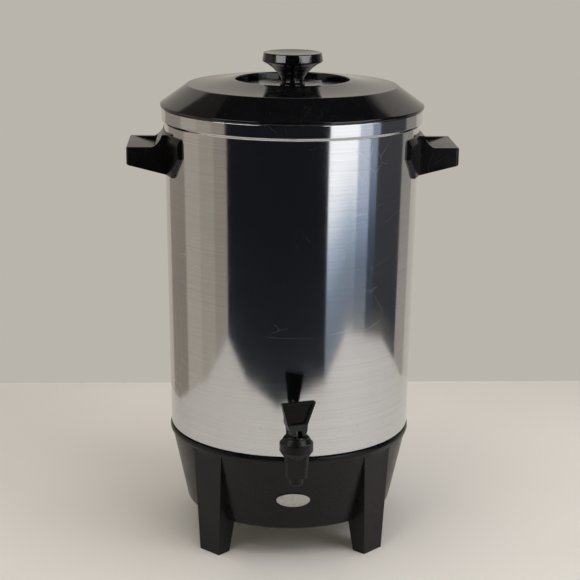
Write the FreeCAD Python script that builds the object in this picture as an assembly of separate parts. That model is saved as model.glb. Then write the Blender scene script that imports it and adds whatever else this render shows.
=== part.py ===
# Percolator coffee urn: aluminium body on a phenolic base with four legs, side
# handles, a lift-off lid, a lever tap in front and the pump, basket and heater inside.
# Millimetres. +Z is up, the origin is on the floor under the body's axis, -Y is the front.
import FreeCAD, Part
import math
import os

V = FreeCAD.Vector
os.makedirs("parts", exist_ok=True)

# Body shell
body_bottom_z = 92.0        # outside of the body's floor above the table
body_height = 261.8         # body's floor to the rolled rim
body_bottom_r = 98.0
body_top_r = 102.0
sheet = 1.0                 # body sheet
floor_sheet = 1.2
body_corner_r = 2.5
band_height = 9.8           # straight band under the lid
band_step = 2.3             # band stands this far outside the wall
band_curve = 4.0            # height of the curve from wall to band

# Base moulding and legs
lip_height = 5.0
lip_proud = 0.9
base_wall = 3.5
skirt_top_inset = 1.6       # skirt starts this far inside the lip
skirt_taper = 13.0          # radius lost from the top of the skirt to its bottom
skirt_bottom_z = 26.8
skirt_edge_r = 2.0
ledge_width = 25.0          # the body's floor rests on this ledge
ledge_thick = 4.0
leg_inset = 2.9             # outer face of a leg at its top, inside the lip
leg_rake = 2.2              # and how much further in it stands at the floor
leg_foot_width = 21.2
leg_foot_depth = 12.0
leg_top_width = 30.6
leg_top_depth = 30.0
leg_wall = 4.0
leg_sole = 7.0
leg_count = 4

# Bottom cover of the base
cover_sheet = 1.2
cover_seat_z = 31.2
cover_seat_width = 3.4
cover_boss_r = 5.0
cover_boss_height = 13.0
cover_screw_inset = 14.3    # screws inside the skirt's bottom radius
cover_screw_r = 2.0

# Handles
grip_out = 29.0             # outer end of a grip beyond the body's top radius
grip_length = 60.0
grip_top_drop = 9.5         # grip's top below the flange's top
grip_end_height = 14.3
grip_root_height = 24.1     # grip's height at the wall
grip_end_chamfer = 1.1
grip_corner_r = 2.5
grip_rise = 0.02            # slope of the grip's underside inside the wall
flange_half_width = 53.0
flange_top_drop = 18.8      # flange's top below the rim
flange_height = 32.4
flange_knee_height = 16.9   # corner where the flange's ends turn in
flange_bevel = 4.5
flange_bottom_half_width = 40.0
flange_thick = 3.0
flange_lip = 0.9            # flange's thickness at its top edge
ramp_length = 6.0           # slope from the grip's top up to the flange
recess_depth = 3.0
recess_rim = 4.2
handle_screw_r = 2.0
handle_screw_spacing = 32.0
handle_screw_drop = 9.5     # screws below the grip's top
handle_screw_grip = 14.0    # how far a screw goes into the handle
handle_head_r = 4.2
handle_head_height = 2.6
washer_margin = 1.2         # washer's edge beyond the screw head
washer_thin = 0.6           # washer's thinnest place

# Lid
lid_overhang = 1.0          # lid's edge beyond the band
lid_edge_round = 1.6
lid_slope_run = 21.3        # from the edge in to the shoulder
lid_rise = 17.5             # from the edge up to the shoulder
lid_well_r = 45.6
well_rim_rise = 4.4         # from the shoulder up to the well's rim
lid_well_depth = 6.0
lid_wall = 3.2
well_wall = 4.0             # wall round the knob's well
lid_sag = 0.7               # hollow of the top ring between shoulder and well rim
plate_sheet = 0.9
plate_step = 4.6            # plate's level beyond the well, below the well's floor
plate_shelf_width = 4.1     # flat edge of the plate over the drip ring
plate_play = 1.4            # plate's edge inside the lid's own seat
drip_ring_height = 6.1
lid_boss_circle_r = 66.0
lid_boss_r = 4.0
lid_screw_r = 1.6
lid_screw_count = 3

# Knob
knob_height = 26.8          # above the well's floor
knob_top_r = 22.7
knob_r = 24.2
knob_side_height = 6.8      # from the widest line up to the top
knob_under_drop = 8.6       # underside of the disc below the top
knob_flare_r = 14.5         # neck spreads out to the disc through these two
knob_flare_drop = 11.4
knob_bell_r = 17.2
knob_bell_drop = 9.8
knob_neck_r = 10.4
knob_neck_drop = 17.4
knob_waist_r = 9.1
knob_waist_height = 5.5
knob_foot_r = 10.2
knob_dish = 1.4
knob_flat_r = 3.0           # level middle of the dished top
knob_screw_r = 2.5
knob_screw_depth = 14.0

# Tap
tap_reach = 32.0            # tap's axis in front of the body's bottom radius
tap_swivel_deg = 16.6       # the lever stands turned on its stem
nozzle_z = 83.4
nozzle_height = 6.6
nozzle_r = 5.4
outlet_r = 3.5
tap_column_top_z = 111.0
tap_column_top_half = 9.6
tap_column_foot_half = 7.9
tap_column_chamfer = 2.2
tap_shoulder_r = 12.85
tap_shoulder_height = 5.5
seat_z = 97.6
chamber_r = 6.6
tap_neck_r = 8.6
tap_neck_height = 5.0
bonnet_band_height = 6.3
bonnet_cone_height = 4.2
bonnet_top_r = 9.6
bonnet_roof = 3.0
shank_z = 104.8
shank_r = 6.0
shank_bore_r = 4.0
shank_flange_r = 9.2
shank_flange_thick = 2.0
shank_gasket_r = 9.0
gasket_thick = 1.8          # squeezed thickness at the thinnest place
shank_nut_flat = 17.0
shank_nut_height = 6.0
shank_tail = 2.0            # thread beyond the nut
stem_r = 1.9
stem_collar_r = 4.6
stem_collar_height = 1.3
seat_cup_r = 5.6
seat_cup_height = 9.2
spring_wire_r = 0.4
spring_coil_r = 4.0
spring_turns = 5
wear_washer_r = 7.6
wear_washer_thick = 0.7
lever_cam_r = 4.0           # base circle of the lever's cam foot: lift per radian
lever_pin_height = 4.0      # pin above the cam's flat
lever_pull_deg = 40.0
lever_height = 23.69        # above the pin
lever_top_width = 26.4
lever_waist_width = 14.0
lever_foot_width = 10.8
lever_waist_z = 1.5         # above the pin
lever_back = 2.6            # back face behind the pin
lever_front = 3.0
lever_top_front = 5.4
lever_panel_depth = 1.1
lever_rim = 2.4
lever_slot_half = 2.15
pin_r = 1.2

# Heating well and what hangs under the body's floor
well_r = 27.0
well_sheet = 1.0
well_depth = 15.0
well_flange_r = 35.0
well_gasket_thick = 1.5
well_stud_r = 3.0
well_stud_length = 20.0
heater_r = 36.0
clamp_r = 37.5
clamp_sheet = 1.5
hex_nut_flat = 10.0
hex_nut_height = 5.0
warmer_thick = 2.0
warmer_height = 9.0
shield_r = 44.0
shield_sheet = 0.7
shield_rim = 6.0
terminal_r = 1.5
terminal_length = 6.0
part_circle_r = 54.0        # thermostat and fuse, from the axis
thermostat_r = 8.0
thermostat_height = 9.6
thermostat_cap_r = 6.0
thermostat_cap_height = 3.0
ear_half_length = 14.0
ear_half_width = 4.0
ear_sheet = 1.2
ear_hole = 10.8             # screw from the thermostat's axis
small_screw_r = 1.5
small_head_r = 2.9
small_head_height = 2.0
fuse_r = 2.2
fuse_half_length = 9.0
clip_half_width = 3.2
clip_half_length = 3.0
stud_inset = 7.0            # studs outside the ledge's inner edge
stud_r = 2.5
stud_length = 13.0
stud_nut_flat = 8.0
stud_nut_height = 4.0

# Power inlet at the back of the base
inlet_z = 60.0
inlet_half_width = 14.8
inlet_half_height = 9.8
inlet_pad_margin = 8.0
inlet_pad_inset = 2.5       # flat outer face of the pad, inside the skirt's top radius
inlet_pad_depth = 18.8
inlet_flange_thick = 4.0
inlet_socket_depth = 14.8
inlet_wall = 2.8
inlet_pin_r = 2.4
inlet_pin_spacing = 12.7
inlet_pin_tail = 6.0
inlet_screw_x = 18.4
inlet_screw_grip = 6.0      # how far a screw goes into the pad
wire_r = 1.2

# Pump, basket and spreader
tube_r = 4.8
tube_bore_r = 4.0
tube_top_drop = 15.8        # tube's top below the rim
foot_r = 25.4
foot_sheet = 0.8
foot_rise = 11.0
foot_hole_r = 2.2
foot_hole_circle_r = 18.0
foot_hole_count = 6
valve_r = 7.5
valve_thick = 0.8
basket_r = 76.0
basket_top_drop = 33.8      # basket's rim below the urn's rim
basket_height = 70.0
basket_sheet = 0.8
basket_corner_r = 6.0
basket_sleeve_r = 6.4
basket_rim = 2.4
basket_holes = [(18.0, 8), (30.0, 14), (42.0, 20), (54.0, 26), (66.0, 32)]
basket_hole_r = 1.3
stop_r = 8.2
stop_height = 3.0
spreader_lip = 5.0
spreader_holes = [(26.0, 10), (40.0, 16), (56.0, 22)]
spreader_hole_r = 1.6

# Badge on the front of the skirt
badge_half_width = 13.3
badge_half_height = 5.9
badge_z = 54.0
badge_thick = 0.8
badge_rim = 1.5
badge_panel_depth = 0.25

# Clearances
seat_gap = 0.1              # pieces that are screwed together
lift_gap = 0.3              # pieces that lift off
run_gap = 0.06              # shafts that turn or slide in their holes
cam_gap = 0.15
hole_gap = 0.25             # a screw in a plain hole
overrun = 5.0               # how far a cutting shape passes what it cuts

# Worked out from the above
rim_z = body_bottom_z + body_height
band_r = body_top_r + band_step
band_z = rim_z - band_height
wall_top_z = band_z - band_curve
floor_z = body_bottom_z + floor_sheet
lip_r = body_bottom_r + lip_proud
lip_z = body_bottom_z - lip_height
skirt_top_r = lip_r - skirt_top_inset
skirt_bottom_r = skirt_top_r - skirt_taper
ledge_z = body_bottom_z - ledge_thick
ledge_inner_r = body_bottom_r - ledge_width
stud_circle_r = ledge_inner_r + stud_inset
cover_screw_circle_r = skirt_bottom_r - cover_screw_inset
leg_top_r = lip_r - leg_inset
leg_foot_r = leg_top_r - leg_rake
inlet_pad_y = skirt_top_r - inlet_pad_inset
inlet_pad_inner_y = inlet_pad_y - inlet_pad_depth
inlet_floor_y = inlet_pad_y - inlet_socket_depth
grip_reach = body_top_r + grip_out
flange_top_z = rim_z - flange_top_drop
flange_bottom_z = flange_top_z - flange_height
flange_knee_z = flange_bottom_z + flange_knee_height
grip_top_z = flange_top_z - grip_top_drop
grip_root_z = grip_top_z - grip_root_height
handle_screw_z = grip_top_z - handle_screw_drop
lid_edge_r = band_r + lid_overhang
lid_edge_z = rim_z + lift_gap
lid_shoulder_r = lid_edge_r - lid_slope_run
lid_shoulder_z = lid_edge_z + lid_rise
lid_well_rim_z = lid_shoulder_z + well_rim_rise
well_floor_z = lid_well_rim_z - lid_well_depth
plate_edge_r = band_r - sheet - lift_gap - plate_play
plate_shelf_r = plate_edge_r - plate_shelf_width
plate_shelf_z = lid_edge_z - 2 * seat_gap
knob_top_z = well_floor_z + knob_height
tap_y = -body_bottom_r - tap_reach
well_flange_z = floor_z + well_gasket_thick
well_top_z = well_flange_z + well_sheet
well_bottom_z = body_bottom_z - well_depth
clamp_top_z = well_bottom_z - seat_gap
nut_z = clamp_top_z - clamp_sheet
shield_top_z = nut_z - hex_nut_height
bonnet_z = tap_column_top_z + seat_gap
bonnet_top_z = bonnet_z + bonnet_band_height + bonnet_cone_height
washer_z = bonnet_top_z + run_gap
pin_z = washer_z + wear_washer_thick + cam_gap + lever_pin_height
lever_top_z = pin_z + lever_height
collar_z = seat_z + seat_cup_height + seat_gap
spring_low_z = collar_z + stem_collar_height + spring_wire_r + seat_gap
spring_high_z = bonnet_z + bonnet_band_height + bonnet_cone_height - bonnet_roof
spring_high_z = spring_high_z - spring_wire_r - seat_gap
tube_top_z = rim_z - tube_top_drop
basket_bottom_z = rim_z - basket_top_drop - basket_height
basket_seat_z = basket_bottom_z - lift_gap
spreader_z = basket_bottom_z + basket_height + lift_gap


def wall_r(z):
    """Outer radius of the tapered wall at a height."""
    share = (z - body_bottom_z) / (wall_top_z - body_bottom_z)
    return body_bottom_r + (body_top_r - body_bottom_r) * share


def skirt_r(z):
    """Outer radius of the base skirt at a height."""
    share = (z - skirt_bottom_z) / (lip_z - skirt_bottom_z)
    return skirt_bottom_r + (skirt_top_r - skirt_bottom_r) * share


def outline(points, place):
    """Closed face from points; a pair of points is an arc's middle and end."""
    edges = []
    last = place(points[0])
    for step in points[1:] + [points[0]]:
        if isinstance(step[0], tuple):
            middle = place(step[0])
            end = place(step[1])
            edges.append(Part.Arc(last, middle, end).toShape())
        else:
            end = place(step)
            if end.distanceToPoint(last) < 1e-6:
                continue
            edges.append(Part.LineSegment(last, end).toShape())
        last = end
    return Part.Face(Part.Wire(edges))


def lathe(points):
    """Solid turned about Z from (radius, height) points."""
    face = outline(points, lambda p: V(p[0], 0, p[1]))
    return face.revolve(V(0, 0, 0), V(0, 0, 1), 360)


def cylinder(radius, length, base, axis=V(0, 0, 1)):
    return Part.makeCylinder(radius, length, base, axis)


def ring(outer, inner, low, high):
    return lathe([(inner, low), (outer, low), (outer, high), (inner, high)])


def block(x0, x1, y0, y1, z0, z1):
    return Part.makeBox(x1 - x0, y1 - y0, z1 - z0, V(x0, y0, z0))


def hexagon(across_flats, height, base, axis=V(0, 0, 1)):
    """Hexagonal prism along Z or Y."""
    corner = across_flats / math.sqrt(3)
    side = V(1, 0, 0)
    up = axis.cross(side)
    points = []
    for i in range(7):
        angle = math.radians(60 * i)
        points.append(base + side * (corner * math.cos(angle)) + up * (corner * math.sin(angle)))
    return Part.Face(Part.makePolygon(points)).extrude(axis * height)


def turned(shape, angle, centre=V(0, 0, 0)):
    copy = shape.copy()
    copy.rotate(centre, V(0, 0, 1), angle)
    return copy


def around(shape, count, first=0.0):
    """Copies of a shape spaced evenly about the axis."""
    return [turned(shape, first + 360.0 * i / count) for i in range(count)]


def wall_cone(offset, low, high):
    """Solid inside the body's wall surface, moved out by an offset."""
    return Part.makeCone(wall_r(low) + offset, wall_r(high) + offset, high - low, V(0, 0, low))


def skirt_cone(offset, low, high):
    return Part.makeCone(skirt_r(low) + offset, skirt_r(high) + offset, high - low, V(0, 0, low))


def whole(shape):
    """One clean solid."""
    shape = shape.removeSplitter()
    if len(shape.Solids) != 1:
        raise ValueError("%d solids where one is expected" % len(shape.Solids))
    return shape.Solids[0]


def group(shapes):
    return Part.makeCompound([solid for shape in shapes for solid in shape.Solids])


def screw(radius, length, head_r, head_height, base, axis):
    """Shank along axis from base, with its head behind the base."""
    shank = cylinder(radius, length, base, axis)
    head = cylinder(head_r, head_height, base - axis * head_height, axis)
    return whole(shank.fuse(head))


def tube_path(points, radius):
    """Round wire through points, with a tangent arc at every bend."""
    edges = []
    last = points[0]
    for i in range(1, len(points) - 1):
        back = points[i - 1] - points[i]
        ahead = points[i + 1] - points[i]
        shorter = min(back.Length, ahead.Length)
        half_turn = (math.pi - back.getAngle(ahead)) / 2
        cut = 0.45 * shorter
        bend = cut / math.tan(half_turn)
        back.normalize()
        ahead.normalize()
        start = points[i] + back * cut
        end = points[i] + ahead * cut
        inward = back + ahead
        inward.normalize()
        middle = points[i] + inward * (bend / math.cos(half_turn) - bend)
        edges.append(Part.LineSegment(last, start).toShape())
        edges.append(Part.Arc(start, middle, end).toShape())
        last = end
    edges.append(Part.LineSegment(last, points[-1]).toShape())
    path = Part.Wire(edges)
    circle = Part.makeCircle(radius, points[0], points[1] - points[0])
    solid = path.makePipeShell([Part.Wire([circle])], True, False)
    print("wire length %.1f, volume share %.4f" % (
        path.Length, solid.Volume / (math.pi * radius ** 2 * path.Length)))
    return solid.Solids[0]


# Body shell

def make_urn_body():
    """Drawn shell: flat floor, tapered wall and the wider band at the rim."""
    corner = body_corner_r
    cut = corner * (1 - math.sqrt(0.5))
    inner = corner - sheet
    inner_cut = inner * (1 - math.sqrt(0.5))
    low_r = body_bottom_r
    ease = 0.35                                   # where the curve under the band bulges
    shell = lathe([
        (0, body_bottom_z),
        (low_r - corner, body_bottom_z),
        ((low_r - cut, body_bottom_z + cut), (low_r, body_bottom_z + corner)),
        (body_top_r, wall_top_z),
        ((body_top_r + band_step * ease, wall_top_z + band_curve / 2), (band_r, band_z)),
        (band_r, rim_z - sheet / 2),
        ((band_r - sheet / 2, rim_z), (band_r - sheet, rim_z - sheet / 2)),
        (band_r - sheet, band_z),
        ((body_top_r - sheet + band_step * ease, wall_top_z + band_curve / 2),
         (body_top_r - sheet, wall_top_z)),
        (low_r - sheet, floor_z + inner),
        ((low_r - sheet - inner_cut, floor_z + inner_cut), (low_r - sheet - inner, floor_z)),
        (0, floor_z),
    ])
    through = floor_sheet + 2 * overrun
    well_hole = cylinder(well_r + well_sheet + hole_gap, through, V(0, 0, body_bottom_z - overrun))
    tap_hole = cylinder(shank_r + hole_gap, body_top_r, V(0, tap_y, shank_z), V(0, 1, 0))
    shell = shell.cut(well_hole).cut(tap_hole)
    for side in (-1, 1):
        for y in (-handle_screw_spacing / 2, handle_screw_spacing / 2):
            start = V(side * body_top_r / 2, y, handle_screw_z)
            shell = shell.cut(cylinder(handle_screw_r + hole_gap, body_top_r, start, V(side, 0, 0)))
    return whole(shell)


# Handles

def make_handle():
    """Right-hand handle: grip with a thumb recess and a flange that wraps the wall."""
    wall = wall_r(grip_top_z)
    inside = wall - 4 * overrun
    ramp_x = wall + flange_thick + ramp_length
    round_cut = grip_corner_r * (1 - math.sqrt(0.5))
    half = grip_length / 2
    end_z = grip_top_z - grip_end_height
    chamfer = grip_end_chamfer
    ramp_rise = flange_top_z - grip_top_z
    ramp_middle = (ramp_x - ramp_length * 0.62, grip_top_z + ramp_rise * 0.27)
    side_view = outline([
        (inside, grip_root_z - (inside + 40) * grip_rise),
        (grip_reach - chamfer, end_z),
        (grip_reach, end_z + chamfer),
        (grip_reach, grip_top_z - chamfer * 0.7),
        (grip_reach - chamfer * 0.7, grip_top_z),
        (ramp_x, grip_top_z),
        (ramp_middle, (wall + flange_thick * 0.45, flange_top_z)),
        (inside, flange_top_z),
    ], lambda p: V(p[0], -half, p[1])).extrude(V(0, grip_length, 0))
    plan = outline([
        (inside, -half),
        (grip_reach - grip_corner_r, -half),
        ((grip_reach - round_cut, -half + round_cut), (grip_reach, -half + grip_corner_r)),
        (grip_reach, half - grip_corner_r),
        ((grip_reach - round_cut, half - round_cut), (grip_reach - grip_corner_r, half)),
        (inside, half),
    ], lambda p: V(p[0], p[1], grip_root_z - 2 * overrun)).extrude(V(0, 0, 2 * grip_length))
    grip = side_view.common(plan)
    recess_half = half - recess_rim
    back_x = ramp_x - ramp_length * 0.4
    above_z = flange_top_z + overrun
    recess = outline([
        (grip_reach - recess_rim, grip_top_z),
        (ramp_x + recess_depth * 0.2, grip_top_z - recess_depth),
        ((ramp_x - recess_depth * 0.53, grip_top_z - recess_depth * 0.6),
         (back_x, grip_top_z + ramp_rise * 0.18)),
        (back_x, above_z),
        (grip_reach - recess_rim, above_z),
    ], lambda p: V(p[0], -recess_half, p[1])).extrude(V(0, 2 * recess_half, 0))
    grip = grip.cut(recess)
    end = flange_half_width
    foot = flange_bottom_half_width
    face = outline([
        (-foot, flange_bottom_z),
        (foot, flange_bottom_z),
        (end, flange_knee_z),
        (end, flange_top_z),
        (-end, flange_top_z),
        (-end, flange_knee_z),
    ], lambda p: V(wall / 2, p[0], p[1])).extrude(V(wall, 0, 0))
    low = flange_bottom_z
    bevel_z = flange_top_z - flange_bevel
    band = lathe([
        (wall_r(low) - overrun, low),
        (wall_r(low) + flange_thick * 0.6, low),
        (wall_r(low) + flange_thick, low + flange_thick / 2),
        (wall_r(bevel_z) + flange_thick, bevel_z),
        (wall_r(flange_top_z) + flange_lip, flange_top_z),
        (wall_r(flange_top_z) - overrun, flange_top_z),
    ])
    handle = grip.fuse(band.common(face))
    handle = handle.cut(wall_cone(seat_gap, grip_root_z - 4 * overrun, flange_top_z + overrun))
    for y in (-handle_screw_spacing / 2, handle_screw_spacing / 2):
        start = V(wall - 2 * overrun, y, handle_screw_z)
        length = 2 * overrun + handle_screw_grip + 1
        handle = handle.cut(cylinder(handle_screw_r + run_gap, length, start, V(1, 0, 0)))
    return whole(handle)


def handle_fixings():
    """Screws inside the body and the saddle washers under their heads."""
    wall = wall_r(handle_screw_z) - sheet
    half = handle_screw_spacing / 2
    edge = half + handle_head_r + washer_margin
    seat_x = math.sqrt(wall ** 2 - edge ** 2) - washer_thin
    screws = []
    washers = []
    for side in (-1, 1):
        out = V(side, 0, 0)
        for y in (-half, half):
            base = V(side * seat_x, y, handle_screw_z)
            length = wall + sheet + handle_screw_grip - seat_x
            screws.append(screw(handle_screw_r, length, handle_head_r, handle_head_height, base, out))
            pad = cylinder(handle_head_r + washer_margin, wall - seat_x + overrun, base + out * seat_gap, out)
            low = handle_screw_z - 2 * handle_head_r
            high = handle_screw_z + 2 * handle_head_r
            pad = pad.common(wall_cone(-sheet - seat_gap, low, high))
            pad = pad.cut(cylinder(handle_screw_r + run_gap, wall, base - out, out))
            washers.append(whole(pad))
    return group(screws), group(washers)


# Base

def leg_block(grow=0.0, bottom_z=0.0, top_z=lip_z):
    """Tapered leg on the +X axis, as a ruled block."""
    sections = []
    for z in (bottom_z, top_z):
        share = z / lip_z
        outer = leg_foot_r + (leg_top_r - leg_foot_r) * share + grow
        width = leg_foot_width + (leg_top_width - leg_foot_width) * share + 2 * grow
        depth = leg_foot_depth + (leg_top_depth - leg_foot_depth) * share + 2 * grow
        half = width / 2
        corners = [(outer - depth, -half), (outer, -half), (outer, half), (outer - depth, half)]
        points = [V(x, y, z) for x, y in corners + corners[:1]]
        sections.append(Part.makePolygon(points))
    return Part.makeLoft(sections, True, True)


def make_base():
    """Skirt, lip, ledge, legs, cover bosses and the flat pad for the inlet."""
    edge = skirt_edge_r
    edge_cut = edge * (1 - math.sqrt(0.5))
    lip_mid = (body_bottom_z + lip_z) / 2
    seat_r = skirt_r(cover_seat_z) - base_wall
    skirt = lathe([
        (seat_r, skirt_bottom_z),
        (skirt_r(skirt_bottom_z) - edge, skirt_bottom_z),
        ((skirt_bottom_r - edge_cut, skirt_bottom_z + edge_cut),
         (skirt_r(skirt_bottom_z + edge), skirt_bottom_z + edge)),
        (skirt_top_r, lip_z),
        (lip_r - 0.5, lip_z),
        ((lip_r, lip_mid), (lip_r - 0.7, body_bottom_z - seat_gap)),
        (ledge_inner_r, body_bottom_z - seat_gap),
        (ledge_inner_r, ledge_z),
        (skirt_r(ledge_z) - base_wall, ledge_z),
        (seat_r - cover_seat_width + 4.0, cover_seat_z + 12),
        (seat_r - cover_seat_width, cover_seat_z + 6),
        (seat_r - cover_seat_width, cover_seat_z),
        (seat_r, cover_seat_z),
    ])
    leg = leg_block()
    hollow = leg_block(-leg_wall, leg_sole, lip_z)
    mouth = leg_block(-leg_wall, cover_seat_z, lip_z)
    mouth.translate(V(-leg_wall - 4, 0, 0))
    angles = [45 + 360.0 * i / leg_count for i in range(leg_count)]
    trimmed = leg.cut(hollow).cut(mouth)
    base = skirt
    for angle in angles:
        base = base.fuse(turned(trimmed, angle))
    for angle in angles:
        base = base.cut(turned(hollow, angle))
    boss_top = cover_seat_z + cover_boss_height
    reach = skirt_r(cover_seat_z) - base_wall / 2 - cover_screw_circle_r
    boss = cylinder(cover_boss_r, cover_boss_height, V(cover_screw_circle_r, 0, cover_seat_z))
    rib_half = cover_boss_r * 0.6
    rib_x = cover_screw_circle_r
    rib = block(rib_x, rib_x + reach, -rib_half, rib_half, cover_seat_z, boss_top)
    boss = boss.fuse(rib)
    start = V(cover_screw_circle_r, 0, cover_seat_z - 1)
    hole = cylinder(cover_screw_r + run_gap, cover_boss_height - 2, start)
    for shape in around(boss, 4):
        base = base.fuse(shape)
    for shape in around(hole, 4):
        base = base.cut(shape)
    pad_half = inlet_half_width + inlet_pad_margin
    high = inlet_half_height + inlet_pad_margin / 2
    pad = block(-pad_half, pad_half, inlet_pad_inner_y, inlet_pad_y, inlet_z - high, inlet_z + high)
    wide = inlet_half_width + hole_gap
    high = inlet_half_height + hole_gap
    inner_y = inlet_pad_inner_y - overrun
    window = block(-wide, wide, inner_y, inlet_pad_y + overrun, inlet_z - high, inlet_z + high)
    base = base.fuse(pad).cut(window)
    for x in (-inlet_screw_x, inlet_screw_x):
        start = V(x, inlet_pad_inner_y - 1, inlet_z)
        base = base.cut(cylinder(small_screw_r + run_gap, inlet_screw_grip + 3, start, V(0, 1, 0)))
    stud_hole = cylinder(stud_r + hole_gap, ledge_thick + 2 * overrun, V(stud_circle_r, 0, ledge_z - overrun))
    for shape in around(stud_hole, 4):
        base = base.cut(shape)
    return whole(base)


def make_base_cover():
    """Sheet disc that closes the base from below, cut out round the legs."""
    low = cover_seat_z - cover_sheet
    radius = skirt_r(cover_seat_z) - base_wall - hole_gap
    disc = cylinder(radius, cover_sheet - seat_gap, V(0, 0, low))
    leg = leg_block(0.4, 0, lip_z)
    for angle in range(45, 360, 90):
        disc = disc.cut(turned(leg, angle))
    hole = cylinder(cover_screw_r + hole_gap, 6, V(cover_screw_circle_r, 0, low - 2))
    for shape in around(hole, 4):
        disc = disc.cut(shape)
    return whole(disc)


def make_cover_screws():
    base = V(cover_screw_circle_r, 0, cover_seat_z - cover_sheet - 0.02)
    one = screw(cover_screw_r, cover_boss_height - 4, cover_screw_r * 1.9, 1.8, base, V(0, 0, 1))
    return group(around(one, 4))


def stud_set():
    stud = cylinder(stud_r, stud_length, V(stud_circle_r, 0, body_bottom_z - stud_length - 0.02))
    nut = hexagon(stud_nut_flat, stud_nut_height, V(stud_circle_r, 0, ledge_z - stud_nut_height - seat_gap))
    nut = nut.cut(cylinder(stud_r + run_gap, 20, V(stud_circle_r, 0, ledge_z - 15)))
    return group(around(stud, 4)), group(around(nut, 4))


def make_badge():
    """Bare oval plate bent to the skirt, with a raised border."""
    def oval(grow):
        wide = badge_half_width + grow
        tall = badge_half_height + grow
        curve = Part.Ellipse(V(wide, 0, 0), V(0, tall, 0), V(0, 0, 0))
        face = Part.Face(Part.Wire([curve.toShape()]))
        face.rotate(V(0, 0, 0), V(1, 0, 0), 90)
        face.translate(V(0, -lip_r - overrun, badge_z))
        return face.extrude(V(0, lip_r, 0))
    low = badge_z - 2 * badge_half_height
    high = badge_z + 2 * badge_half_height
    outer = skirt_cone(badge_thick, low, high)
    inner = skirt_cone(seat_gap / 2, low, high)
    panel = skirt_cone(badge_thick - badge_panel_depth, low, high)
    plate = oval(0).common(outer).cut(inner)
    return whole(plate.cut(oval(-badge_rim).cut(panel)))


# Heating well and electrics

def make_heating_well():
    inner = well_r
    outer = well_r + well_sheet
    return whole(lathe([
        (0, well_bottom_z - well_stud_length),
        (well_stud_r, well_bottom_z - well_stud_length),
        (well_stud_r, well_bottom_z),
        (outer, well_bottom_z),
        (outer, well_flange_z),
        (well_flange_r, well_flange_z),
        (well_flange_r, well_top_z),
        (inner, well_top_z),
        (inner, well_bottom_z + well_sheet),
        (0, well_bottom_z + well_sheet),
    ]))


def make_main_heater():
    """Ring element clamped round the well, with two terminals."""
    inner = well_r + well_sheet + seat_gap
    low = clamp_top_z + 0.02
    high = body_bottom_z - seat_gap
    shape = ring(heater_r, inner, low, high)
    terminal_z = (low + high) / 2
    reach = heater_r + warmer_thick + terminal_length
    for angle in (225, 315):
        post = cylinder(terminal_r, reach - heater_r + 1, V(heater_r - 1, 0, terminal_z), V(1, 0, 0))
        shape = shape.fuse(turned(post, angle))
    return whole(shape)


def make_warmer_band():
    low = (clamp_top_z + body_bottom_z - warmer_height) / 2
    inner = heater_r + seat_gap
    band = ring(inner + warmer_thick, inner, low, low + warmer_height)
    gap = block(0, 60, -4, 4, low - 1, low + warmer_height + 1)
    post_z = low + warmer_height / 2
    post_hole = cylinder(terminal_r + 0.6, 60, V(0, 0, post_z), V(1, 0, 0))
    return whole(band.cut(turned(gap, 225)).cut(turned(post_hole, 315)))


def make_clamp():
    return ring(clamp_r, well_stud_r + hole_gap, nut_z, clamp_top_z)


def make_well_nuts():
    nuts = []
    for top in (nut_z, shield_top_z - shield_sheet):
        nut = hexagon(hex_nut_flat, hex_nut_height - seat_gap, V(0, 0, top - hex_nut_height))
        nuts.append(whole(nut.cut(cylinder(well_stud_r + run_gap, 20, V(0, 0, top - 12)))))
    return group(nuts)


def make_heat_shield():
    low = shield_top_z - shield_sheet
    return whole(lathe([
        (well_stud_r + hole_gap, low),
        (shield_r, low),
        (shield_r, low + shield_rim),
        (shield_r - shield_sheet, low + shield_rim),
        (shield_r - shield_sheet, shield_top_z - 0.02),
        (well_stud_r + hole_gap, shield_top_z - 0.02),
    ]))


def thermostat_set():
    """Disc thermostat with ears, and its two screws."""
    x = -part_circle_r
    top = body_bottom_z - seat_gap
    cap_top = top - thermostat_height
    body = cylinder(thermostat_r, thermostat_height, V(x, 0, cap_top))
    cap_low = cap_top - thermostat_cap_height
    body = body.fuse(cylinder(thermostat_cap_r, thermostat_cap_height, V(x, 0, cap_low)))
    length = ear_half_length
    body = body.fuse(block(x - length, x + length, -ear_half_width, ear_half_width, top - ear_sheet, top))
    wire_z = cap_top - thermostat_cap_height / 2
    for side in (-1, 1):
        start = V(x, side * (thermostat_cap_r - 1), wire_z)
        body = body.fuse(cylinder(terminal_r * 0.9, terminal_length, start, V(0, side, 0)))
    screws = []
    for side in (-1, 1):
        centre = V(x + side * ear_hole, 0, top - ear_sheet - 0.02)
        body = body.cut(cylinder(small_screw_r + run_gap, 6, centre - V(0, 0, 2)))
        head_r = small_head_r * 0.85
        screws.append(screw(small_screw_r, ear_sheet, head_r, small_head_height, centre, V(0, 0, 1)))
    return whole(body), group(screws), wire_z


def fuse_set(wire_z):
    x = part_circle_r
    fuse = cylinder(fuse_r, 2 * fuse_half_length, V(x, -fuse_half_length, wire_z), V(0, 1, 0))
    clip = block(x - clip_half_width, x + clip_half_width, -clip_half_length, clip_half_length,
                 wire_z - clip_half_width, body_bottom_z - seat_gap)
    clip = clip.cut(cylinder(fuse_r + seat_gap, 20, V(x, -10, wire_z), V(0, 1, 0)))
    return fuse, whole(clip)


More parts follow.
